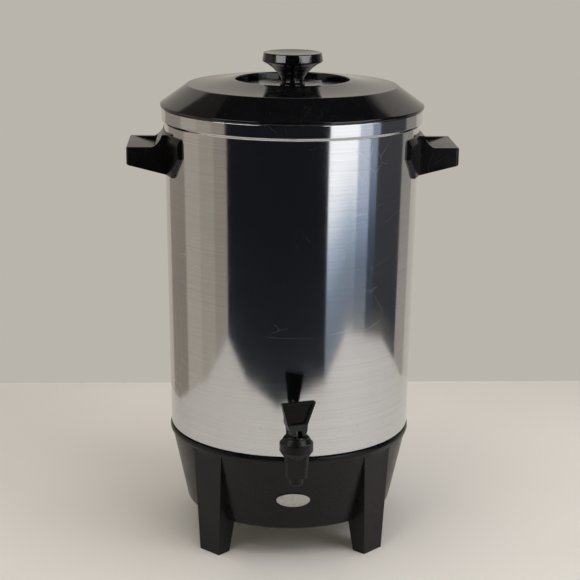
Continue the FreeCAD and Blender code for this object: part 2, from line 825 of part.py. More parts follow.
def inlet_set():
    """Socket block with its two pins and two screws."""
    z0 = inlet_z - inlet_half_height
    z1 = inlet_z + inlet_half_height
    face = inlet_pad_inner_y - seat_gap
    back = face - inlet_flange_thick
    shape = block(-inlet_half_width, inlet_half_width, back, inlet_pad_y - 0.6, z0, z1)
    wide = inlet_screw_x + 3.4
    shape = shape.fuse(block(-wide, wide, back, face, z0 - 1, z1 + 1))
    shape = shape.cut(block(-inlet_half_width + inlet_wall, inlet_half_width - inlet_wall, inlet_floor_y,
                            inlet_pad_y + 5, z0 + inlet_wall, z1 - inlet_wall))
    pins = []
    for x in (-inlet_pin_spacing / 2, inlet_pin_spacing / 2):
        start = V(x, back - inlet_pin_tail, inlet_z)
        pins.append(cylinder(inlet_pin_r, inlet_pad_y - 3 - start.y, start, V(0, 1, 0)))
        shape = shape.cut(cylinder(inlet_pin_r + run_gap, 40, start, V(0, 1, 0)))
    screws = []
    for x in (-inlet_screw_x, inlet_screw_x):
        base = V(x, back - 0.02, inlet_z)
        shape = shape.cut(cylinder(small_screw_r + hole_gap, 10, base - V(0, 2, 0), V(0, 1, 0)))
        length = inlet_flange_thick + inlet_screw_grip
        screws.append(screw(small_screw_r, length, small_head_r, small_head_height, base, V(0, 1, 0)))
    return whole(shape), group(pins), group(screws), back - inlet_pin_tail


def make_lead_wires(wire_z, pin_y):
    """Four leads inside the base: inlet to thermostat and fuse, and from them to the heater."""
    wires = []
    heater_z = (clamp_top_z + 0.02 + body_bottom_z - seat_gap) / 2
    reach = (heater_r + warmer_thick + terminal_length + 0.05) * math.sqrt(0.5)
    for side in (-1, 1):
        pin_x = side * inlet_pin_spacing / 2
        x = side * part_circle_r
        tip = thermostat_cap_r - 1 + terminal_length if side < 0 else fuse_half_length
        wires.append(tube_path([
            V(pin_x, pin_y - 0.05, inlet_z),
            V(pin_x, pin_y - 8, inlet_z),
            V(side * 26, 52, 66),
            V(side * 46, 38, wire_z - 3),
            V(x, 24, wire_z),
            V(x, tip + 0.05, wire_z),
        ], wire_r))
        wires.append(tube_path([
            V(x, -tip - 0.05, wire_z),
            V(x, -22, wire_z),
            V(side * 52.5, -34, wire_z),
            V(side * 46, -43, heater_z),
            V(side * 40, -40, heater_z),
            V(side * reach, -reach, heater_z),
        ], wire_r))
    return group(wires)


# Tap

def on_tap(shape):
    """Moves a shape built about the Z axis to the tap."""
    shape.translate(V(0, tap_y, 0))
    return shape


def turned_lever(shape):
    shape.rotate(V(0, 0, 0), V(0, 0, 1), tap_swivel_deg)
    return on_tap(shape)


def square_section(half, chamfer, z):
    inner = half - chamfer
    points = [(inner, -half), (half, -inner), (half, inner), (inner, half),
              (-inner, half), (-half, inner), (-half, -inner), (-inner, -half)]
    return Part.makePolygon([V(x, y, z) for x, y in points + points[:1]])


def make_faucet_body():
    """Square column with a round shoulder, nozzle, threaded neck and shank."""
    column_z = nozzle_z + nozzle_height
    column = Part.makeLoft([
        square_section(tap_column_foot_half, tap_column_chamfer * 0.8, column_z),
        square_section(tap_column_top_half, tap_column_chamfer, tap_column_top_z),
    ], True, True)
    shoulder = Part.makeCone(tap_shoulder_r - 3.6, tap_shoulder_r, tap_shoulder_height,
                             V(0, 0, tap_column_top_z - tap_shoulder_height))
    nozzle = lathe([
        (0, nozzle_z),
        (nozzle_r - 0.6, nozzle_z),
        (nozzle_r, nozzle_z + 0.6),
        (nozzle_r, column_z + 0.5),
        (0, column_z + 0.5),
    ])
    neck = cylinder(tap_neck_r, tap_neck_height, V(0, 0, tap_column_top_z))
    body = on_tap(column.fuse(shoulder).fuse(nozzle).fuse(neck))
    wall = wall_r(shank_z)
    flange_y = -math.sqrt(wall ** 2 - shank_gasket_r ** 2) - gasket_thick - 0.6
    flange_y = min(flange_y, -wall - gasket_thick)
    inner_y = -wall + sheet + gasket_thick + shank_nut_height + shank_tail + 1.0
    shank = cylinder(shank_r, inner_y - tap_y, V(0, tap_y, shank_z), V(0, 1, 0))
    start = V(0, flange_y - shank_flange_thick, shank_z)
    flange = cylinder(shank_flange_r, shank_flange_thick, start, V(0, 1, 0))
    body = body.fuse(shank).fuse(flange)
    body = body.cut(cylinder(shank_bore_r, wall, V(0, tap_y, shank_z), V(0, 1, 0)))
    chamber = lathe([
        (0, nozzle_z - 1),
        (outlet_r, nozzle_z - 1),
        (outlet_r, seat_z - 0.8),
        (outlet_r + 0.8, seat_z),
        (chamber_r, seat_z),
        (chamber_r, tap_column_top_z + tap_neck_height + 1),
        (0, tap_column_top_z + tap_neck_height + 1),
    ])
    return whole(body.cut(on_tap(chamber))), flange_y


def make_bonnet():
    inner = tap_neck_r + seat_gap
    band_top = bonnet_z + bonnet_band_height
    roof = bonnet_top_z - bonnet_roof
    return whole(on_tap(lathe([
        (inner, bonnet_z),
        (tap_shoulder_r - 0.5, bonnet_z),
        (tap_shoulder_r, bonnet_z + 0.5),
        (tap_shoulder_r, band_top - 0.7),
        ((tap_shoulder_r - 0.25, band_top - 0.2), (tap_shoulder_r - 0.8, band_top + 0.2)),
        (bonnet_top_r, bonnet_top_z - 0.5),
        ((bonnet_top_r - 0.2, bonnet_top_z - 0.12), (bonnet_top_r - 0.8, bonnet_top_z)),
        (stem_r + run_gap, bonnet_top_z),
        (stem_r + run_gap, roof),
        (inner, roof),
    ])))


def make_spring():
    """Helix with flat rest ends, as a plain wound wire."""
    height = spring_high_z - spring_low_z
    pitch = height / spring_turns
    helix = Part.makeHelix(pitch, height, spring_coil_r)
    start = V(spring_coil_r, 0, 0)
    rise = pitch / (2 * math.pi * spring_coil_r)
    circle = Part.makeCircle(spring_wire_r, start, V(0, 1, rise))
    solid = Part.Wire(helix.Edges).makePipeShell([Part.Wire([circle])], True, True)
    solid = solid.Solids[0]
    solid.translate(V(0, 0, spring_low_z))
    print("spring gap between turns %.2f" % (pitch - 2 * spring_wire_r))
    return on_tap(solid)


def make_stem():
    """Rod that carries the seat cup, with a collar for the spring."""
    rod = cylinder(stem_r, pin_z + 2.6 - seat_z - 3.2, V(0, 0, seat_z + 3.2))
    collar = cylinder(stem_collar_r, stem_collar_height, V(0, 0, collar_z))
    bore = cylinder(pin_r + run_gap, 20, V(-10, 0, pin_z), V(1, 0, 0))
    return whole(turned_lever(rod.fuse(collar).cut(bore)))


def make_seat_cup():
    low = seat_z + seat_gap
    return whole(on_tap(lathe([
        (0, low),
        (seat_cup_r - 0.8, low),
        (seat_cup_r, low + 1.2),
        (seat_cup_r, low + 3.0),
        (seat_cup_r - 1.6, low + 5.0),
        (seat_cup_r - 1.6, seat_z + seat_cup_height),
        (stem_r + run_gap, seat_z + seat_cup_height),
        (stem_r + run_gap, seat_z + 3.2 - run_gap),
        (0, seat_z + 3.2 - run_gap),
    ])))


def make_wear_washer():
    washer = ring(wear_washer_r, stem_r + run_gap, washer_z, washer_z + wear_washer_thick)
    return on_tap(washer)


def cam_point(angle):
    """Foot of the lever: its reach below the pin grows evenly with the pull."""
    reach = lever_pin_height + lever_cam_r * angle
    y = -reach * math.sin(angle) - lever_cam_r * math.cos(angle)
    z = -reach * math.cos(angle) + lever_cam_r * math.sin(angle)
    return (y, z)


def make_lever():
    """Flared paddle with raised side rims, on a cam foot with a slot for the stem."""
    last = math.radians(lever_pull_deg + 6)
    cam = [cam_point(last * i / 4) for i in range(5)]
    top = lever_height
    profile = outline([
        cam[0],
        (cam[1], cam[2]),
        (cam[3], cam[4]),
        (-lever_front - 1.6, lever_waist_z + 1.0),
        (-lever_front, lever_waist_z + 3.5),
        (-lever_top_front, top - 1.0),
        ((-lever_top_front + 0.4, top - 0.3), (-lever_top_front + 1.2, top)),
        (-lever_top_front + 3.0, top),
        ((-lever_top_front + 3.7, top - 0.3), (-lever_top_front + 4.0, top - 1.0)),
        (lever_back, lever_waist_z + 6),
        (lever_back + 1.4, 0),
        (lever_back + 1.4, -lever_pin_height + 0.8),
        (lever_back + 0.6, -lever_pin_height),
    ], lambda p: V(-20, p[0], pin_z + p[1])).extrude(V(40, 0, 0))
    front = outline([
        (-lever_foot_width / 2, -10),
        (lever_foot_width / 2, -10),
        (lever_foot_width / 2, -1.0),
        (lever_waist_width / 2, lever_waist_z),
        (lever_top_width / 2, top - 1.2),
        ((lever_top_width / 2 - 0.3, top - 0.35), (lever_top_width / 2 - 1.2, top)),
        (-lever_top_width / 2 + 1.2, top),
        ((-lever_top_width / 2 + 0.3, top - 0.35), (-lever_top_width / 2, top - 1.2)),
        (-lever_waist_width / 2, lever_waist_z),
        (-lever_foot_width / 2, -1.0),
    ], lambda p: V(p[0], -20, pin_z + p[1])).extrude(V(0, 40, 0))
    lever = profile.common(front)
    panel_low = lever_waist_z + 4.5
    low_half = lever_waist_width / 2 - lever_rim + 1.0
    high_half = lever_top_width / 2 - lever_rim
    slope = (lever_top_front - lever_front) / (top - 1.0 - lever_waist_z - 3.5)
    tilt_y = -lever_front - slope * (panel_low - lever_waist_z - 3.5)
    far_y = -lever_front - slope * (top - 2.2 - lever_waist_z - 3.5)
    sections = []
    for z, half, y in ((panel_low, low_half, tilt_y), (top - 2.2, high_half, far_y)):
        deep = y + lever_panel_depth
        points = [V(-half, y - 3, pin_z + z), V(half, y - 3, pin_z + z),
                  V(half - 0.5, deep, pin_z + z), V(-half + 0.5, deep, pin_z + z), V(-half, y - 3, pin_z + z)]
        sections.append(Part.makePolygon(points))
    lever = lever.cut(Part.makeLoft(sections, True, True))
    slot = block(-lever_slot_half, lever_slot_half, -15, 15, pin_z - 10, pin_z + 1.2)
    slot = slot.fuse(block(-lever_slot_half, lever_slot_half, -lever_slot_half, 15, pin_z, pin_z + 3.4))
    lever = lever.cut(slot)
    lever = lever.cut(cylinder(pin_r + run_gap, 40, V(-20, 0, pin_z), V(1, 0, 0)))
    return whole(turned_lever(lever))


def make_lever_pin():
    length = lever_foot_width - 0.6
    return turned_lever(cylinder(pin_r, length, V(-length / 2, 0, pin_z), V(1, 0, 0)))


def shank_fixings(flange_y):
    """Outer and inner gaskets that follow the wall, and the nut inside."""
    wall = wall_r(shank_z)
    low = shank_z - 2 * shank_gasket_r
    high = shank_z + 2 * shank_gasket_r
    hole = cylinder(shank_r + seat_gap, wall, V(0, tap_y, shank_z), V(0, 1, 0))
    outer = cylinder(shank_gasket_r, wall / 2, V(0, flange_y + 0.02, shank_z), V(0, 1, 0))
    outer = outer.cut(wall_cone(seat_gap, low, high)).cut(hole)
    nut_y = -math.sqrt((wall - sheet) ** 2 - shank_gasket_r ** 2) + gasket_thick
    inner = cylinder(shank_gasket_r, wall + nut_y, V(0, -wall, shank_z), V(0, 1, 0))
    inner = inner.common(wall_cone(-sheet - seat_gap, low, high)).cut(hole)
    nut = hexagon(shank_nut_flat, shank_nut_height, V(0, nut_y + 0.02, shank_z), V(0, 1, 0))
    nut = nut.cut(cylinder(shank_r + run_gap, wall / 2, V(0, nut_y - overrun, shank_z), V(0, 1, 0)))
    return whole(outer), whole(inner), whole(nut)


# Lid and knob

def make_lid_ring():
    """Phenolic lid: sloping skirt, hollow top ring and the rim of the knob's well."""
    edge = lid_edge_round
    mid_r = (lid_shoulder_r + lid_well_r) / 2
    mid_z = (lid_shoulder_z + lid_well_rim_z) / 2 - lid_sag
    low = lid_edge_z
    slope = math.atan2(lid_shoulder_z - low - edge, lid_edge_r - lid_shoulder_r)
    inset = lid_wall / math.sin(slope)
    ledge_r = plate_edge_r + 4 * seat_gap
    ring_solid = lathe([
        (ledge_r, low),
        (lid_edge_r - edge, low),
        ((lid_edge_r - edge * 0.25, low + edge * 0.35), (lid_edge_r - 0.15, low + edge + 0.6)),
        (lid_shoulder_r + 1.6, lid_shoulder_z - 1.0),
        ((lid_shoulder_r + 0.6, lid_shoulder_z - 0.3), (lid_shoulder_r - 0.8, lid_shoulder_z)),
        ((mid_r, mid_z), (lid_well_r + 0.8, lid_well_rim_z)),
        ((lid_well_r + 0.25, lid_well_rim_z - 0.2), (lid_well_r, lid_well_rim_z - 0.8)),
        (lid_well_r - 0.6, well_floor_z + seat_gap),
        (lid_well_r + well_wall, well_floor_z + seat_gap),
        (lid_well_r + well_wall, lid_well_rim_z - lid_wall - 0.8),
        (lid_shoulder_r - 1.0, lid_shoulder_z - lid_wall),
        (ledge_r, low + 2.6),
    ])
    boss_low = well_floor_z - plate_step + seat_gap
    boss = cylinder(lid_boss_r, lid_well_rim_z - 4.0 - boss_low, V(lid_boss_circle_r, 0, boss_low))
    hole = cylinder(lid_screw_r + run_gap, 8.0, V(lid_boss_circle_r, 0, boss_low - 3.0))
    for shape in around(boss, lid_screw_count, 90):
        ring_solid = ring_solid.fuse(shape)
    for shape in around(hole, lid_screw_count, 90):
        ring_solid = ring_solid.cut(shape)
    return whole(ring_solid)


def make_lid_plate():
    """Aluminium plate: the well's floor, a level ring that carries the screws, and a shelf at the edge."""
    top = well_floor_z
    step = top - plate_step
    t = plate_sheet
    well_edge = lid_well_r + well_wall
    ring_edge = lid_boss_circle_r + 2 * lid_boss_r
    plate = lathe([
        (0, top - t),
        (well_edge, top - t),
        (well_edge + 3.0, step - t),
        (ring_edge, step - t),
        (plate_shelf_r, plate_shelf_z - t),
        (plate_edge_r, plate_shelf_z - t),
        (plate_edge_r, plate_shelf_z),
        (plate_shelf_r, plate_shelf_z),
        (ring_edge + 0.6, step),
        (well_edge + 3.4, step),
        (well_edge + 0.4, top),
        (0, top),
    ])
    plate = plate.cut(cylinder(knob_screw_r + hole_gap, 2 * overrun, V(0, 0, top - overrun)))
    hole = cylinder(lid_screw_r + hole_gap, 2 * overrun, V(lid_boss_circle_r, 0, step - overrun))
    for shape in around(hole, lid_screw_count, 90):
        plate = plate.cut(shape)
    return whole(plate)


def make_drip_ring():
    """Ring under the plate's shelf that centres the lid inside the urn's band."""
    high = plate_shelf_z - plate_sheet - 0.02
    return ring(plate_edge_r, plate_edge_r - plate_sheet, high - drip_ring_height, high)


def make_lid_screws():
    base = V(lid_boss_circle_r, 0, well_floor_z - plate_step - plate_sheet - 0.02)
    one = screw(lid_screw_r, 5.6, lid_screw_r * 1.9, 1.5, base, V(0, 0, 1))
    return group(around(one, lid_screw_count, 90))


def make_knob():
    """Turned knob: dished disc on a waisted stem."""
    foot_z = well_floor_z + seat_gap
    under_z = knob_top_z - knob_under_drop
    widest_z = knob_top_z - knob_side_height
    waist_z = well_floor_z + knob_waist_height
    knob = lathe([
        (0, foot_z),
        (knob_foot_r, foot_z),
        ((knob_foot_r - 0.75, (foot_z + waist_z) / 2), (knob_waist_r, waist_z)),
        ((knob_neck_r, knob_top_z - knob_neck_drop), (knob_flare_r, knob_top_z - knob_flare_drop)),
        ((knob_bell_r, knob_top_z - knob_bell_drop), (knob_r - 3.2, under_z - 0.2)),
        (knob_r - 0.8, under_z + 0.3),
        ((knob_r - 0.1, under_z + 0.9), (knob_r, widest_z)),
        (knob_top_r + 0.5, knob_top_z - 1.0),
        ((knob_top_r, knob_top_z - 0.2), (knob_top_r - 1.0, knob_top_z)),
        (knob_top_r - 2.2, knob_top_z - 0.3),
        ((knob_top_r * 0.5, knob_top_z - knob_dish), (knob_flat_r, knob_top_z - knob_dish - 0.3)),
        (0, knob_top_z - knob_dish - 0.3),
    ])
    bore = cylinder(knob_screw_r + run_gap, knob_screw_depth + 1, V(0, 0, well_floor_z - 0.5))
    return whole(knob.cut(bore))


def make_knob_screw():
    base = V(0, 0, well_floor_z - plate_sheet - 0.02)
    return screw(knob_screw_r, knob_screw_depth, knob_screw_r * 1.9, 2.4, base, V(0, 0, 1))


# Pump, basket and spreader

def make_pump_tube():
    """Tube from the foot to the spreader, with the stop that the basket rests on."""
    low = well_bottom_z + well_sheet + foot_rise
    tube = ring(tube_r, tube_bore_r, low, tube_top_z)
    stop = ring(stop_r, tube_bore_r, basket_seat_z - stop_height, basket_seat_z)
    return whole(tube.fuse(stop))


def make_pump_foot():
    """Spun dome that stands in the heating well and carries the tube."""
    low = well_bottom_z + well_sheet + lift_gap
    top = low + foot_rise
    collar = tube_r + run_gap
    t = foot_sheet
    foot = lathe([
        (foot_r - t, low),
        (foot_r, low),
        (foot_r, low + 1.2),
        ((foot_r * 0.62, low + foot_rise * 0.55), (collar + t, top)),
        (collar + t, top + 8.0),
        (collar, top + 8.0),
        (collar, top - 0.8),
        ((foot_r * 0.58, low + foot_rise * 0.44), (foot_r - t, low + 0.8)),
    ])
    hole = cylinder(foot_hole_r, 20, V(foot_hole_circle_r, 0, low - 1))
    for shape in around(hole, foot_hole_count):
        foot = foot.cut(shape)
    return whole(foot)


def make_valve_disc():
    """Loose disc under the dome that lets water in and keeps steam from going back."""
    low = well_bottom_z + well_sheet + lift_gap
    return ring(valve_r, 1.6, low, low + valve_thick)


def punched(shape, rows, radius, low):
    holes = []
    for circle_r, count in rows:
        one = cylinder(radius, 6, V(circle_r, 0, low))
        holes += around(one, count)
    return shape.cut(Part.makeCompound(holes))


def make_basket():
    """Perforated basket with a sleeve that slides over the pump tube."""
    low = basket_bottom_z
    top = low + basket_height
    t = basket_sheet
    corner = basket_corner_r
    cut = corner * (1 - math.sqrt(0.5))
    inner_cut = (corner - t) * (1 - math.sqrt(0.5))
    sleeve = basket_sleeve_r
    r = basket_r
    basket = lathe([
        (sleeve - t, low),
        (r - corner, low),
        ((r - cut, low + cut), (r, low + corner)),
        (r, top - 1.2),
        (r + basket_rim, top - 1.2),
        (r + basket_rim, top),
        (r - t, top),
        (r - t, low + corner),
        ((r - t - inner_cut, low + t + inner_cut), (r - corner, low + t)),
        (sleeve, low + t),
        (sleeve, top - 6),
        (sleeve - t, top - 6),
    ])
    return whole(punched(basket, basket_holes, basket_hole_r, low - 2))


def make_spreader():
    """Perforated cover that lies on the basket's rim and spreads the water."""
    low = spreader_z
    t = basket_sheet
    outer = basket_r + basket_rim
    inside = basket_r - basket_sheet - lift_gap * 2
    cover = lathe([
        (tube_r + 1.0, low - spreader_lip),
        (inside - t, low - spreader_lip),
        (inside - t, low),
        (outer, low),
        (outer, low + t),
        (inside - 2 * t, low + t),
        (inside - 2 * t, low - spreader_lip + t),
        (tube_r + 1.0, low - spreader_lip + t),
    ])
    cover = whole(cover)
    return whole(punched(cover, spreader_holes, spreader_hole_r, low - spreader_lip - 2))


handle_right = make_handle()
handle_left = turned(handle_right, 180)
handle_screws, handle_washers = handle_fixings()
base_studs, base_nuts = stud_set()
thermostat, thermostat_screws, lead_z = thermostat_set()
thermal_fuse, fuse_clip = fuse_set(lead_z)
inlet_block, inlet_pins, inlet_screws, inlet_tail_y = inlet_set()
faucet_body, tap_flange_y = make_faucet_body()
outer_gasket, inner_gasket, shank_nut = shank_fixings(tap_flange_y)

nodes = {
    "urn_body": make_urn_body(),
    "handle_left": handle_left,
    "handle_right": handle_right,
    "handle_screws": handle_screws,
    "handle_washers": handle_washers,
    "base": make_base(),
    "base_studs": base_studs,
    "base_nuts": base_nuts,
    "base_cover": make_base_cover(),
    "cover_screws": make_cover_screws(),
    "badge": make_badge(),
    "heating_well": make_heating_well(),
    "well_gasket": ring(well_flange_r - 1, well_r + well_sheet + 1, floor_z + 0.02, well_flange_z - 0.02),
    "main_heater": make_main_heater(),
    "warmer_band": make_warmer_band(),
    "heater_clamp": make_clamp(),
    "well_nuts": make_well_nuts(),
    "heat_shield": make_heat_shield(),
    "thermostat": thermostat,
    "thermostat_screws": thermostat_screws,
    "thermal_fuse": thermal_fuse,
    "fuse_clip": fuse_clip,
    "inlet_block": inlet_block,
    "inlet_pins": inlet_pins,
    "inlet_screws": inlet_screws,
    "lead_wires": make_lead_wires(lead_z, inlet_tail_y),
    "faucet_body": faucet_body,
    "faucet_bonnet": make_bonnet(),
    "faucet_spring": make_spring(),
    "faucet_stem": make_stem(),
    "seat_cup": make_seat_cup(),
    "wear_washer": make_wear_washer(),
    "lever": make_lever(),
    "lever_pin": make_lever_pin(),
    "outer_gasket": outer_gasket,
    "inner_gasket": inner_gasket,
    "shank_nut": shank_nut,
    "lid_ring": make_lid_ring(),
    "lid_plate": make_lid_plate(),
    "drip_ring": make_drip_ring(),
    "lid_screws": make_lid_screws(),
    "lid_knob": make_knob(),
    "knob_screw": make_knob_screw(),
    "pump_tube": make_pump_tube(),
    "pump_foot": make_pump_foot(),
    "valve_disc": make_valve_disc(),
    "coffee_basket": make_basket(),
    "basket_cover": make_spreader(),
}

for name, shape in nodes.items():
    if not shape.isValid():
        print("not valid:", name)
    shape.exportStep("parts/%s.step" % name)
    box = shape.BoundBox
    print("%-18s %2d solids  %9.1f mm3  z %.1f to %.1f" % (
        name, len(shape.Solids), shape.Volume, box.ZMin, box.ZMax))
print("pin height %.3f, tap y %.1f, lever top %.1f" % (pin_z, tap_y, lever_top_z))
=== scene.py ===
import bmesh
import bpy
import math
from mathutils import Matrix, Vector


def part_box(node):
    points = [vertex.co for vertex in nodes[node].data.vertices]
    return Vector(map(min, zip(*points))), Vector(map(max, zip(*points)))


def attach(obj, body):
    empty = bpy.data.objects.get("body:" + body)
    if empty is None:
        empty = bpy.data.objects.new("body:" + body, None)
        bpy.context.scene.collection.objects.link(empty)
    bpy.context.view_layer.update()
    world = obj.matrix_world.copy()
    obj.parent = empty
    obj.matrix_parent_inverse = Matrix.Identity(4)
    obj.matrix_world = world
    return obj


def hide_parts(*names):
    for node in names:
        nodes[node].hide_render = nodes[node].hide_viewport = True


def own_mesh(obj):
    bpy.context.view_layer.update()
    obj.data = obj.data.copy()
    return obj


# Percolator coffee urn: polished aluminium body, black phenolic lid, handles, base and tap.
# Sizes in the dictionaries are millimetres, and meshes are metres.
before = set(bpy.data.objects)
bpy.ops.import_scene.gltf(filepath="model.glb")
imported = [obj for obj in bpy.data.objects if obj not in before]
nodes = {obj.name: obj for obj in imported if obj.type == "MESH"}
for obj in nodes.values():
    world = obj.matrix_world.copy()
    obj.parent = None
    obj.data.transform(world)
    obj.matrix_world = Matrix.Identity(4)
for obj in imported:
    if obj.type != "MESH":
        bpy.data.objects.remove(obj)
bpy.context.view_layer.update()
mm = 0.001
print("frame loaded,", len(nodes), "nodes")


def linear(colour):
    # sRGB hex to linear RGBA
    parts = [int(colour[i:i + 2], 16) / 255 for i in (1, 3, 5)]
    return tuple(p / 12.92 if p <= 0.04045 else ((p + 0.055) / 1.055) ** 2.4 for p in parts) + (1.0,)


def setInputs(tree, node, inputs):
    # a socket is linked, and anything else is the input's value
    for key, value in inputs.items():
        if isinstance(value, bpy.types.NodeSocket):
            tree.links.new(value, node.inputs[key])
        else:
            node.inputs[key].default_value = value


def addNode(tree, kind, inputs=None, out=None, **settings):
    # gives back the node, or its socket when out names one
    node = tree.nodes.new(kind)
    for name, value in settings.items():
        setattr(node, name, value)
    setInputs(tree, node, inputs or {})
    return node if out is None else node.outputs[out]


# Camera, from the photograph's perspective

cameraSizes = {
    "distance": 1265.0,      # from the urn's axis
    "height": 531.3,
    "aroundDeg": -2.6,       # stands this far towards -X
    "turnDeg": 2.59,         # looks back towards +X
    "downDeg": 14.58,
    "rollDeg": 0.6,
    "focalPixels": 1590.0,
    "imagePixels": 580.0,
    "sensor": 36.0,
}


def makeCamera(s):
    lens = bpy.data.cameras.new("photoCamera")
    lens.sensor_width = s["sensor"]
    lens.lens = s["sensor"] * s["focalPixels"] / s["imagePixels"]
    lens.clip_start = 0.05
    lens.clip_end = 50.0
    camera = bpy.data.objects.new("photoCamera", lens)
    bpy.context.scene.collection.objects.link(camera)
    around, turn, down, roll = [math.radians(s[k]) for k in ("aroundDeg", "turnDeg", "downDeg", "rollDeg")]
    ahead = Vector((math.sin(turn) * math.cos(down), math.cos(turn) * math.cos(down), -math.sin(down)))
    right = ahead.cross(Vector((0, 0, 1))).normalized()
    up = right.cross(ahead)
    rolledRight = right * math.cos(roll) + up * math.sin(roll)
    rolledUp = up * math.cos(roll) - right * math.sin(roll)
    turned = Matrix((rolledRight, rolledUp, -ahead)).transposed().to_4x4()
    away = s["distance"] * mm
    place = Vector((away * math.sin(around), -away * math.cos(around), s["height"] * mm))
    camera.matrix_world = Matrix.Translation(place) @ turned
    bpy.context.scene.camera = camera


makeCamera(cameraSizes)
print("camera made")


# Materials. Patterns read Object coordinates, and a Mapping node counts them in the pattern's own size.

def perMm(*sizes):
    # Mapping scales for which one step of the pattern is so many millimetres along x, y and z
    return [1 / (size * mm) for size in sizes]


def newSurface(name):
    surface = bpy.data.materials.new(name)
    surface.use_nodes = True
    tree = surface.node_tree
    tree.nodes.clear()
    shader = addNode(tree, "ShaderNodeBsdfPrincipled")
    addNode(tree, "ShaderNodeOutputMaterial", {"Surface": shader.outputs["BSDF"]})
    return surface, tree, shader, addNode(tree, "ShaderNodeTexCoord", out="Object")


def scratchLines(tree, place, cell, width, turn, patch):
    # sparse hairlines: borders of long stretched cells, kept only in patches
    turned = addNode(tree, "ShaderNodeMapping", {
        "Vector": place, "Rotation": [math.radians(a) for a in turn]}, "Vector")
    cells = addNode(tree, "ShaderNodeMapping", {"Vector": turned, "Scale": perMm(*cell)}, "Vector")
    border = addNode(tree, "ShaderNodeTexVoronoi", {
        "Vector": cells, "Scale": 1.0}, "Distance", feature="DISTANCE_TO_EDGE")
    thin = addNode(tree, "ShaderNodeMapRange", {
        "Value": border, "From Max": width / min(cell), "To Min": 1.0, "To Max": 0.0}, "Result")
    patches = addNode(tree, "ShaderNodeMapping", {"Vector": place, "Scale": perMm(patch, patch, patch)}, "Vector")
    patches = addNode(tree, "ShaderNodeTexNoise", {
        "Vector": patches, "Scale": 1.0, "Detail": 3.0, "Roughness": 0.5}, "Fac")
    kept = addNode(tree, "ShaderNodeMapRange", {"Value": patches, "From Min": 0.52, "From Max": 0.62}, "Result")
    return addNode(tree, "ShaderNodeMath", {0: thin, 1: kept}, "Value", operation="MULTIPLY")


